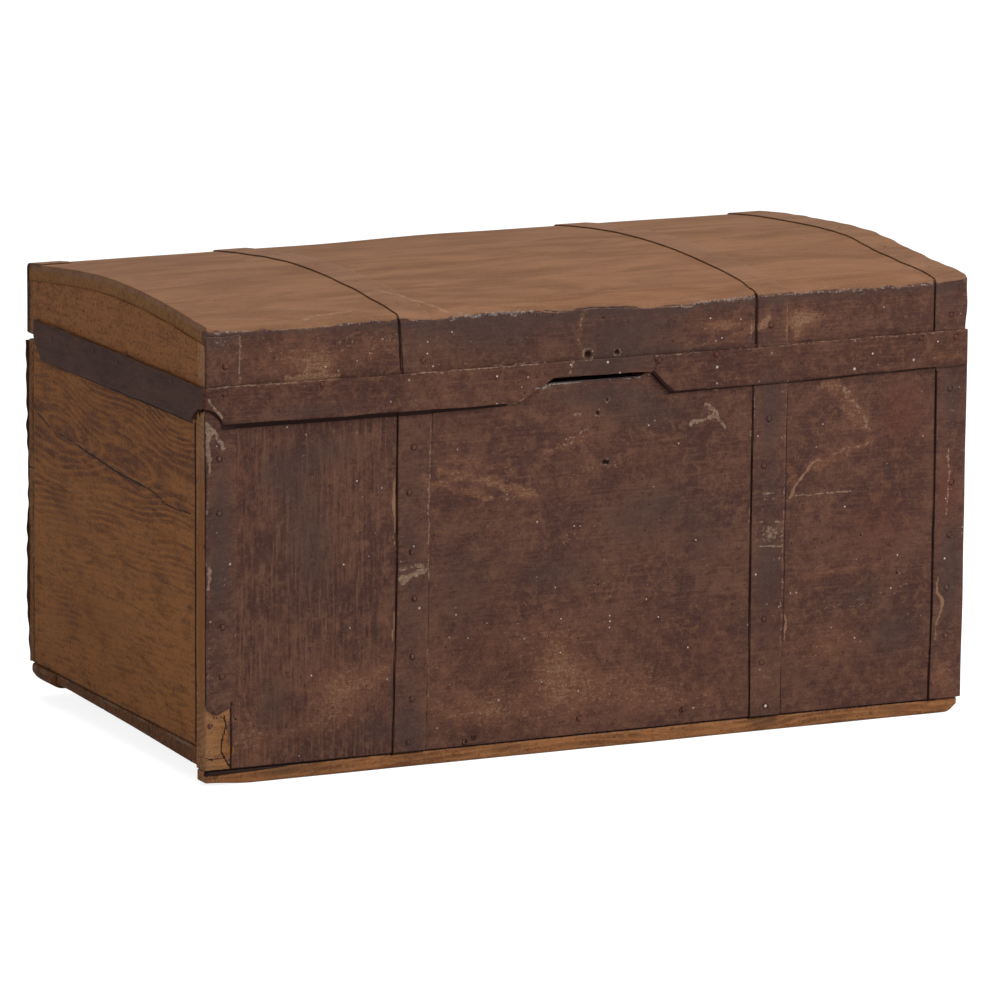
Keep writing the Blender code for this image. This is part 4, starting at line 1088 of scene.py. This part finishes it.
def turn_path(points, radius, step):
    """A flat path through corner points, each corner rounded by an arc.

    Returns even points, the unit direction at each and the distance run.
    """
    points = np.asarray(points, float)
    pieces = [points[0]]
    for before, corner, after in zip(points, points[1:], points[2:]):
        a, b = ((end - corner) / np.linalg.norm(end - corner) for end in (before, after))
        half = np.arccos(np.clip(a @ b, -1, 1)) / 2
        share = np.linspace(0, 1, 7)[:, None]
        bow = (a * (1 - share) ** 2 + b * share ** 2) * radius / np.tan(half)
        pieces.extend(corner + bow)
    pieces = np.vstack([*pieces, points[-1]])
    lengths = np.cumsum(np.linalg.norm(np.diff(pieces, axis=0), axis=1))
    lengths = np.concatenate([[0], lengths])
    even = np.linspace(0, lengths[-1], max(4, round(lengths[-1] / step)))
    path = np.stack([np.interp(even, lengths, pieces[:, i]) for i in range(3)], 1)
    way = np.gradient(path, axis=0)
    return path, way / np.linalg.norm(way, axis=1, keepdims=True), even


# %% Straps and corner irons up the case
FRONT_IRONS = {
    # node: heights where the width is given, left edge and right edge there, in mm
    "front_strap_left": ((15, 110, 200, 350), (-210.3, -208, -206.2, -207.5),
                         (-176.5, -175, -173.5, -173)),
    "front_strap_right": ((15, 110, 200, 350), (178.8, 178, 177.4, 177.6),
                          (211.6, 213, 213.2, 214)),
    "front_corner_iron_left": ((75, 150, 250, 350), (-408.6, -408.6, -408.4, -408.6),
                               (-378, -377, -377.4, -377)),
}
END_GAP = 0.0006
for seed, (node, (heights, lefts, rights)) in enumerate(FRONT_IRONS.items()):
    low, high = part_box(node)
    stations = np.arange(low.z + END_GAP, high.z - END_GAP, FINE)
    left_edge, right_edge = (np.interp(stations / MM, heights, side) * MM + CHALK_ZERO[0]
                             for side in (lefts, rights))
    grid, arris = iron_grid(FRONT * Y + stations[:, None] * Z, X, -Y,
                            left_edge + wander(stations, 0.05, 0.00035, 40 + seed),
                            right_edge + wander(stations, 0.06, 0.00035, 50 + seed))
    if "corner" in node:
        torn = 0.0026 * wobble(grid * X, 0.016, 4) + 0.0008 * wobble(grid * X, 0.004, 5)
        grid = grid + (torn * (1 - smooth(0.075, 0.088, grid[..., 2])))[..., None] * Z
    dress(node, grid, arris, "iron", ("front",), cover=1.3, along=2)

# %% Angle irons round the right corners, and the sprung one behind
LEG_X, LEG_Y = 0.0322, 0.0272
for side, wall, away, bent in (("front", FRONT, -Y, 0.0028), ("back", BACK, Y, 0.0003)):
    node = side + "_corner_iron_right"
    low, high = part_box(node)
    inner = RIGHT - LEG_X
    path, way, run = turn_path([(inner, wall, 0), (RIGHT + bent, wall, 0),
                                (RIGHT + LIFT, wall - away[1] * LEG_Y, 0)], 0.0015, FINE)
    out = np.cross(way, Z) if side == "front" else np.cross(Z, way)
    grid, arris = iron_grid(path, Z, out, low.z + END_GAP, high.z - END_GAP)
    points = grid.reshape(-1, 3)
    edge = (1 - smooth(inner, inner + 0.012, points[:, 0])) * (points[:, 0] < inner + 0.012)
    drift = np.interp(points[:, 2], (0.015, 0.1, 0.25, 0.35), (-0.0014, 0.0004, 0.0012, 0.0002))
    points[:, 0] += edge * (drift + wander(points[:, 2], 0.05, 0.0003, 61))
    dress(node, grid, arris, "iron", ("front",), cover=1.3 * in_front(points, 0.004), along=2)

node = "back_corner_iron_left"
low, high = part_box(node)
stations = np.arange(low.z, high.z, MEDIUM)
sprung = np.interp(stations, (0.02, 0.07, 0.10, 0.17, 0.20, 0.24, 0.30, 0.36),
                   (-1, 0.5, 1.8, 1.6, 0.4, 0.2, 1.8, 2.0)) * MM
grid, arris = iron_grid(BACK * Y + stations[:, None] * Z, X, Y,
                        low.x - sprung + wander(stations, 0.02, 0.0004, 87), high.x)
dress(node, grid, arris, "iron", along=2)
print("irons up the case:", len(FRONT_IRONS) + 3)


# %% [markdown]
# ### Irons over the lid
# The lid's outline is two walls, two rounded arrises and the arc of the crown. An iron over it
# is a strip carried along that outline. On a strap hinge the strip ends in a knuckle, rolled
# round the pin: there the strip narrows to its middle third and follows a circle.

# %% The outline of the lid and its knuckle
OUTLINE_STEP = 0.0016
LID_LOW, HINGE_LOW = 0.3724, 0.3772  # lower ends of the irons, and above a knuckle


def lid_outline(back_low=LID_LOW):
    """Path in (y, z) over the lid, with its outward directions: a chain of lines and arcs."""
    heart = np.array([MID_Y, CREST - CROWN_RADIUS])
    reach = sqrt((CROWN_RADIUS - EDGE_R) ** 2 - (FRONT + EDGE_R - MID_Y) ** 2)
    near, far = (np.array([y, heart[1] + reach]) for y in (FRONT + EDGE_R, BACK - EDGE_R))
    lean = atan2(*(near - heart)[::-1])
    rising, falling = (np.arange(low, near[1], OUTLINE_STEP) for low in (LID_LOW, back_low))
    chain = [(np.stack([rising * 0 + FRONT, rising], 1), np.tile([-1.0, 0], (len(rising), 1)))]
    for centre, radius, start, stop in ((near, EDGE_R, pi, lean), (heart, CROWN_RADIUS, lean, pi - lean),
                                        (far, EDGE_R, pi - lean, 0)):
        count = max(5, round(abs(stop - start) * radius / OUTLINE_STEP))
        angle = np.linspace(start, stop, count)
        out = np.stack([np.cos(angle), np.sin(angle)], 1)
        chain.append((centre + radius * out, out))
    chain = [(path[:-1], out[:-1]) for path, out in chain]
    chain.append((np.stack([falling * 0 + BACK, falling], 1)[::-1],
                  np.tile([1.0, 0], (len(falling), 1))))
    path, out = (np.concatenate([link[i] for link in chain]) for i in (0, 1))
    apart = np.linalg.norm(np.diff(path, axis=0), axis=1) > OUTLINE_STEP / 5
    apart = np.concatenate([[True], apart])
    return path[apart], out[apart]


def in_space(pairs):
    """(y, z) pairs as points in the plane x = 0."""
    return np.concatenate([np.zeros((len(pairs), 1)), pairs], 1)


PIN_R, PIN_PLAY = 0.00225, 0.0003
KNUCKLE_R = PIN_R + PIN_PLAY + STRAP_T
AXLE = np.array([BACK + LIFT + KNUCKLE_R, CASE_TOP])
KNUCKLE_HALF, NECK, ROLLED = 0.0055, 3, 28  # half width, and counts of points in neck and roll
TORN_EDGES = {"left": (5.2, 1.8, 0.6), "right": (2.4, 2.4, 0.6)}

# %% The two strap hinges over the lid
for side, torn_edge in TORN_EDGES.items():
    node = f"lid_strap_{side}"
    low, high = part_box(node)
    middle, half = (low.x + high.x) / 2, (high.x - low.x) / 2
    path, out = lid_outline(HINGE_LOW)
    angle = np.linspace(pi, pi + radians(286), 26)
    roll = np.stack([np.cos(angle), np.sin(angle)], 1)
    path = np.concatenate([path, AXLE + roll * (KNUCKLE_R - STRAP_T - LIFT)])
    out = np.concatenate([out, roll])
    narrow = smooth(len(path) - ROLLED - NECK, len(path) - ROLLED, np.arange(len(path)))
    halves = half * (1 - narrow) + KNUCKLE_HALF * narrow
    run = np.arange(len(path)) * OUTLINE_STEP
    drift = wander(run, 0.06, 0.0004, 71 + len(side)) * (1 - narrow)
    torn_off = np.interp(path[:, 1], (0.391, 0.437, 0.4445), torn_edge) * MM
    torn_off = torn_off * (path[:, 0] < FRONT + 0.01)
    grid, arris = iron_grid(in_space(path), X, in_space(out), middle - halves + drift + torn_off,
                            middle + halves + drift)
    points = grid.reshape(-1, 3)
    top = tan_coat(points) * (points[:, 1] < BACK) * (1 - arris.ravel())
    settle(wear_arris(points))
    dress(node, grid, arris, "iron", ("front", "top"), cover=lid_paint(points), top=top, along=1)

# %% What is left of the iron on the lid's left end
node = "lid_corner_iron_left"
low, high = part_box(node)
stations = np.arange(low.z + 0.001, high.z, FINE)
grid, arris = iron_grid(FRONT * Y + stations[:, None] * Z, X, -Y, low.x,
                        high.x + wander(stations, 0.03, 0.0004, 81))
points = grid.reshape(-1, 3)
points[:, 2] += 0.0008 * wobble(points * X, 0.012, 82) * smooth(0.425, 0.437, points[:, 2])
dress(node, grid, arris, "iron", ("front",), cover=1.3, along=2)

node = "lid_rear_iron_left"
path, out = lid_outline()
rear = path[:, 0] > BACK - 0.030
path, out = path[rear], out[rear]
inner = LEFT + 0.0345 + wander(path.sum(1), 0.02, 0.0012, 86)
grid, arris = iron_grid(in_space(path), X, in_space(out), LEFT - 0.0006, inner)
points = settle(grid.reshape(-1, 3))
dress(node, grid, arris, "iron", ("top",), top=tan_coat(points) * (points[:, 0] > LEFT + 0.0005),
      along=1)

# %% The iron on the lid's right end: a band over the top and a flange down the side
node = "lid_end_iron_right"
path, out = lid_outline()
run = np.arange(len(path)) * OUTLINE_STEP
inner = RIGHT + LIFT - 0.035 + wander(run, 0.05, 0.0005, 83)
outer = RIGHT + STRAP_T + wander(run, 0.030, 0.0007, 84)
grid, arris = iron_grid(in_space(path), X, in_space(out), inner, outer)
points = grid.reshape(-1, 3)
top = tan_coat(points) * (1 - arris.ravel())
settle(wear_arris(points))
dress(node, grid, arris, "iron", ("front", "top"), cover=lid_paint(points), top=top, along=1,
      tag="_band")
stations = np.arange(FRONT, BACK, 0.002)
upper = crown(stations) - STRAP_T
lower = upper - 0.0208 + wander(stations, 0.05, 0.0005, 85)
grid, arris = iron_grid(RIGHT * X + stations[:, None] * Y, Z, X, lower, upper)
settle(wear_arris(grid.reshape(-1, 3)))
dress(node, grid, arris, "iron", along=1, tag="_flange")
print("irons over the lid: 5")

# %% [markdown]
# ### The rim band
# One band runs round three sides of the lid and laps over the joint. Its lower edge is cut away
# at the left corner and where the hasp hung. The edges are two functions of the distance run.

# %% The rim band
LIP, RIM_T = 0.0018, 0.0014
rear_y = BACK - 0.021
path, way, run = turn_path([(LEFT - LIP, rear_y, 0), (LEFT - LIP, FRONT - LIP, 0),
                            (RIGHT + LIP, FRONT - LIP, 0), (RIGHT + LIP, rear_y, 0)], 0.0016, 0.0015)
x, y, _ = chalked(path)
front_low = np.interp(
    x, (-410.4, -408, -404, -398, -391.5, -388, -82, -76, -60, -43, -38, 62, 66, 84, 88, 410),
    (368.5, 368, 366.5, 362, 354, 352.6, 351, 351.5, 361.5, 371.6, 372.2, 371.6, 370, 350.8,
     350.8, 354.4))
left_low = np.interp(y + 212.3, (0, 9, 18, 24, 28, 300, 396, 402, 408, 414, 424),
                     (368.4, 366.6, 361, 355, 352.4, 351, 350, 351, 354, 359, 371))
right_low = np.interp(y + 212.3, (0, 300, 396, 408, 424), (354.4, 353.6, 353.6, 358, 371))
front_high = np.interp(x, (-410, -100, 200, 410), (388.6, 387.6, 387.8, 389.6))
ahead = y < -210.3
lower = np.where(ahead, front_low, np.where(x < 0, left_low, right_low)) * MM
upper = np.where(ahead, front_high, 388.6) * MM
grid, arris = iron_grid(path, Z, np.cross(way, Z), lower + wander(run, 0.05, 0.0003, 91),
                        upper + wander(run, 0.07, 0.0003, 92), RIM_T, 0.0)
points = grid.reshape(-1, 3)
across = chalked(points)[0]
gape = smooth(-395, -360, across) * (1 - smooth(-160, -90, across))
gape = gape * (1 - smooth(0.350, 0.372, points[:, 2])) * in_front(points, 0.002)
points[:, 1] -= 0.0026 * gape
rim = dress("rim_band", grid, arris, "rim", ("front", "end"),
            cover=1.3 * in_front(points, 0.0015), along=1)
print("rim band:", len(rim.data.polygons), "faces")

# %% [markdown]
# ### Pins, back straps and lock plate
# These CAD pieces have the right shape, so they stay and only get a finish of old bare iron.

# %% Finish the CAD pieces that stay
for node in ("hinge_pin_left", "hinge_pin_right", "back_strap_left", "back_strap_right", "lock_plate"):
    kept = frame["nodes"][node]
    if len(kept.data.materials) == 0:
        kept.data.materials.append(None)
    for place in kept.material_slots:
        place.material = STEEL


# %% [markdown]
# ## Nails
# A hand-made nail shows a low, slightly lopsided head. All the heads of one body are one mesh:
# a small dome, turned to its surface, at each place. The rows of heads on the front stand where
# the photographed chest has them.

# %% Where the nails are
STRAPS_X = (-190.4, 196.1)
NAILS = {
    "case": {"front": FRONT_HEADS["irons"], "board": FRONT_HEADS["boards"],
             "back": [(x, z) for x in (-393, *STRAPS_X, 398) for z in (66, 131, 196, 261, 326)]},
    "lid": {"front": FRONT_HEADS["lid"], "rim": FRONT_HEADS["rim"],
            "rim left": [(163, 376), (124, 376), (55, 381), (-6, 380), (-137, 383)],
            "rim right": [(y, 382) for y in (-167, -101, -35, 31, 97, 180)],
            "top": [(x, y) for x in (*STRAPS_X, 396) for y in (-174, -80, 14, 111, 200)],
            "back": [(x, 404) for x in (*STRAPS_X, 396)]},
}
ON_IRON, ON_RIM = LIFT + STRAP_T, LIP + RIM_T


def nail_places(kind, spots):
    """Centres and outward directions of the nails of one surface."""
    a, b = np.array(spots, float).T * MM
    a = a + CHALK_ZERO[1 if kind in ("rim left", "rim right") else 0]
    b = b + (CHALK_ZERO[1] if kind == "top" else 0)
    o = np.ones_like(a)
    if kind == "top":
        out = np.stack([0 * a, (b - MID_Y) / CROWN_RADIUS, o], 1)
        return np.stack([a, b, crown(b) + ON_IRON], 1), out
    level = {"front": FRONT - ON_IRON, "board": FRONT, "rim": FRONT - ON_RIM, "back": BACK + ON_IRON}
    if kind in level:
        return np.stack([a, level[kind] * o, b], 1), (Y if kind == "back" else -Y) * o[:, None]
    side = -1 if kind == "rim left" else 1
    return np.stack([side * (RIGHT + ON_RIM) * o, a, b], 1), side * X * o[:, None]


# %% The heads
def heads(centres, outs, rng, rings=4, spokes=12, sunk=0.0008):
    """Domes: radius r sin(a), height h cos(a) for a from the top to the rim, a little oval."""
    count = len(centres)
    angle = np.linspace(0, 2 * pi, spokes, endpoint=False)
    tilt = np.concatenate([np.linspace(pi / 2 / rings, pi / 2, rings), [pi / 2]])[:, None]
    radius = rng.uniform(0.0021, 0.0029, count)[:, None, None]
    tall = rng.uniform(0.0006, 0.0011, count)[:, None, None]
    swell = 1 + 0.10 * np.cos(angle * 2 + rng.uniform(0, 6, count)[:, None, None])
    r = radius * np.sin(tilt) * swell
    h = tall * np.cos(tilt) + np.array([0] * rings + [-sunk])[:, None]
    outs = outs / np.linalg.norm(outs, axis=1, keepdims=True)
    a = np.cross(outs, np.where(np.abs(outs[:, :1]) > 0.9, Y, X))
    a /= np.linalg.norm(a, axis=1, keepdims=True)
    b = np.cross(outs, a)
    domes = (centres[:, None, None] + outs[:, None, None] * (h + 0 * r)[..., None]
             + a[:, None, None] * (r * np.cos(angle))[..., None]
             + b[:, None, None] * (r * np.sin(angle))[..., None])
    crest, foot = centres + outs * tall[:, 0], centres - outs * sunk
    points = np.concatenate([domes.reshape(count, -1, 3), crest[:, None], foot[:, None]], 1)
    per = points.shape[1]
    index = np.arange((rings + 1) * spokes).reshape(rings + 1, spokes)
    following = np.roll(index, -1, 1)
    quads = np.stack([index[:-1], index[1:], following[1:], following[:-1]], -1).reshape(-1, 4)
    top = np.stack([index[0], following[0], np.full(spokes, per - 2)], -1)
    bottom = np.stack([following[-1], index[-1], np.full(spokes, per - 1)], -1)
    shift = (np.arange(count) * per)[:, None, None]
    quads, top, bottom = ((faces + shift).reshape(-1, faces.shape[1]) for faces in (quads, top, bottom))
    return points.reshape(-1, 3), quads.tolist() + top.tolist() + bottom.tolist()


for (body, surfaces), seed in zip(NAILS.items(), (7, 8)):
    places = [nail_places(kind, spots) for kind, spots in surfaces.items()]
    centres, outs = (np.concatenate([pair[i] for pair in places]) for i in (0, 1))
    if body == "lid":
        settle(centres)
    points, faces = heads(warp(centres), outs, np.random.default_rng(seed))
    mesh = bpy.data.meshes.new(body + "_nails")
    mesh.from_pydata(points.tolist(), [], faces)
    mesh.polygons.foreach_set("use_smooth", np.ones(len(mesh.polygons), bool))
    nails = placed(body + "_nails", mesh)
    store(mesh, marks_on(points, ("front", "top")) | {
        "cover": 1.2 * in_front(points, 0.001),
        "top": 1.3 * (points[:, 2] > crown(points[:, 1]) - 0.002),
        "edge": 0.5, "upright": 0.0, "figure": 0.0})
    mesh.materials.append(FINISHES["iron"])
    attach(nails, body)
    print(body, "nails:", len(centres))

# %% [markdown]
# ## Floor, light and camera
# A white floor and a white world give the soft light of a studio. One large lamp stands to the
# right in front and above, as the shading shows: the top is brightest and the left end darkest.

# %% The floor
FLOOR_HALF = 30
floor_mesh = bpy.data.meshes.new("floor")
floor_mesh.from_pydata([(FLOOR_HALF * x, FLOOR_HALF * y, 0)
                        for x, y in ((-1, -1), (1, -1), (1, 1), (-1, 1))], [], [(0, 1, 2, 3)])
floor = placed("floor", floor_mesh)
paper = bpy.data.materials.new("white paper")
paper.use_nodes = True
seen = add("ShaderNodeLightPath", {}, paper.node_tree)["Is Camera Ray"]
feed(paper.node_tree.nodes["Principled BSDF"].inputs, {
    "Base Color": mix(seen, (0.78, 0.78, 0.78), (0.35, 0.35, 0.35)), "Roughness": 0.9,
    "Specular IOR Level": 0.0, "Emission Color": (1, 1, 1), "Emission Strength": seen * 0.88})
floor_mesh.materials.append(paper)

# %% The lights
world = bpy.data.worlds.new("studio")
world.use_nodes = True
seen = add("ShaderNodeLightPath", {}, world.node_tree)["Is Camera Ray"]
feed(world.node_tree.nodes["Background"].inputs, {"Color": (1, 1, 1), "Strength": seen * 0.7 + 0.34})
bpy.context.scene.world = world


def lamp(name, place, aim, size, power):
    """A square area lamp at a place, pointing at a point."""
    data = bpy.data.lights.new(name, 'AREA')
    data.size, data.energy = size, power
    made = placed(name, data)
    made.location = place
    made.rotation_mode = 'QUATERNION'
    made.rotation_quaternion = (Vector(place) - Vector(aim)).to_track_quat('Z', 'Y')


lamp("key", (1.9, -2.2, 3.4), (0, 0, 0.25), 2.2, 150)
lamp("overhead", (-0.4, 0.6, 3.4), (0, 0, 0.3), 3.0, 50)

# %% The camera
AZIMUTH, ELEVATION, ROLL = radians(-25.91), radians(10.95), radians(0.449)
DISTANCE, FOCAL, SENSOR = 7.23, 261.55, 36.0
behind = Vector((sin(AZIMUTH) * cos(ELEVATION), -cos(AZIMUTH) * cos(ELEVATION), sin(ELEVATION)))
to_right = (-behind).cross(Vector((0, 0, 1))).normalized()
upward = to_right.cross(-behind)
rolled_right = to_right * cos(ROLL) + upward * sin(ROLL)
rolled_up = upward * cos(ROLL) - to_right * sin(ROLL)
lens = bpy.data.cameras.new("camera")
lens.lens, lens.sensor_width, lens.sensor_fit = FOCAL, SENSOR, 'HORIZONTAL'
camera = placed("camera", lens)
turned = Matrix((rolled_right, rolled_up, behind)).transposed().to_4x4()
target = Vector((0.0021, 0, 0.2131)) + Vector(CHALK_ZERO)
camera.matrix_world = Matrix.Translation(target + behind * DISTANCE) @ turned
bpy.context.scene.camera = camera
bpy.context.scene.view_settings.view_transform = 'Standard'
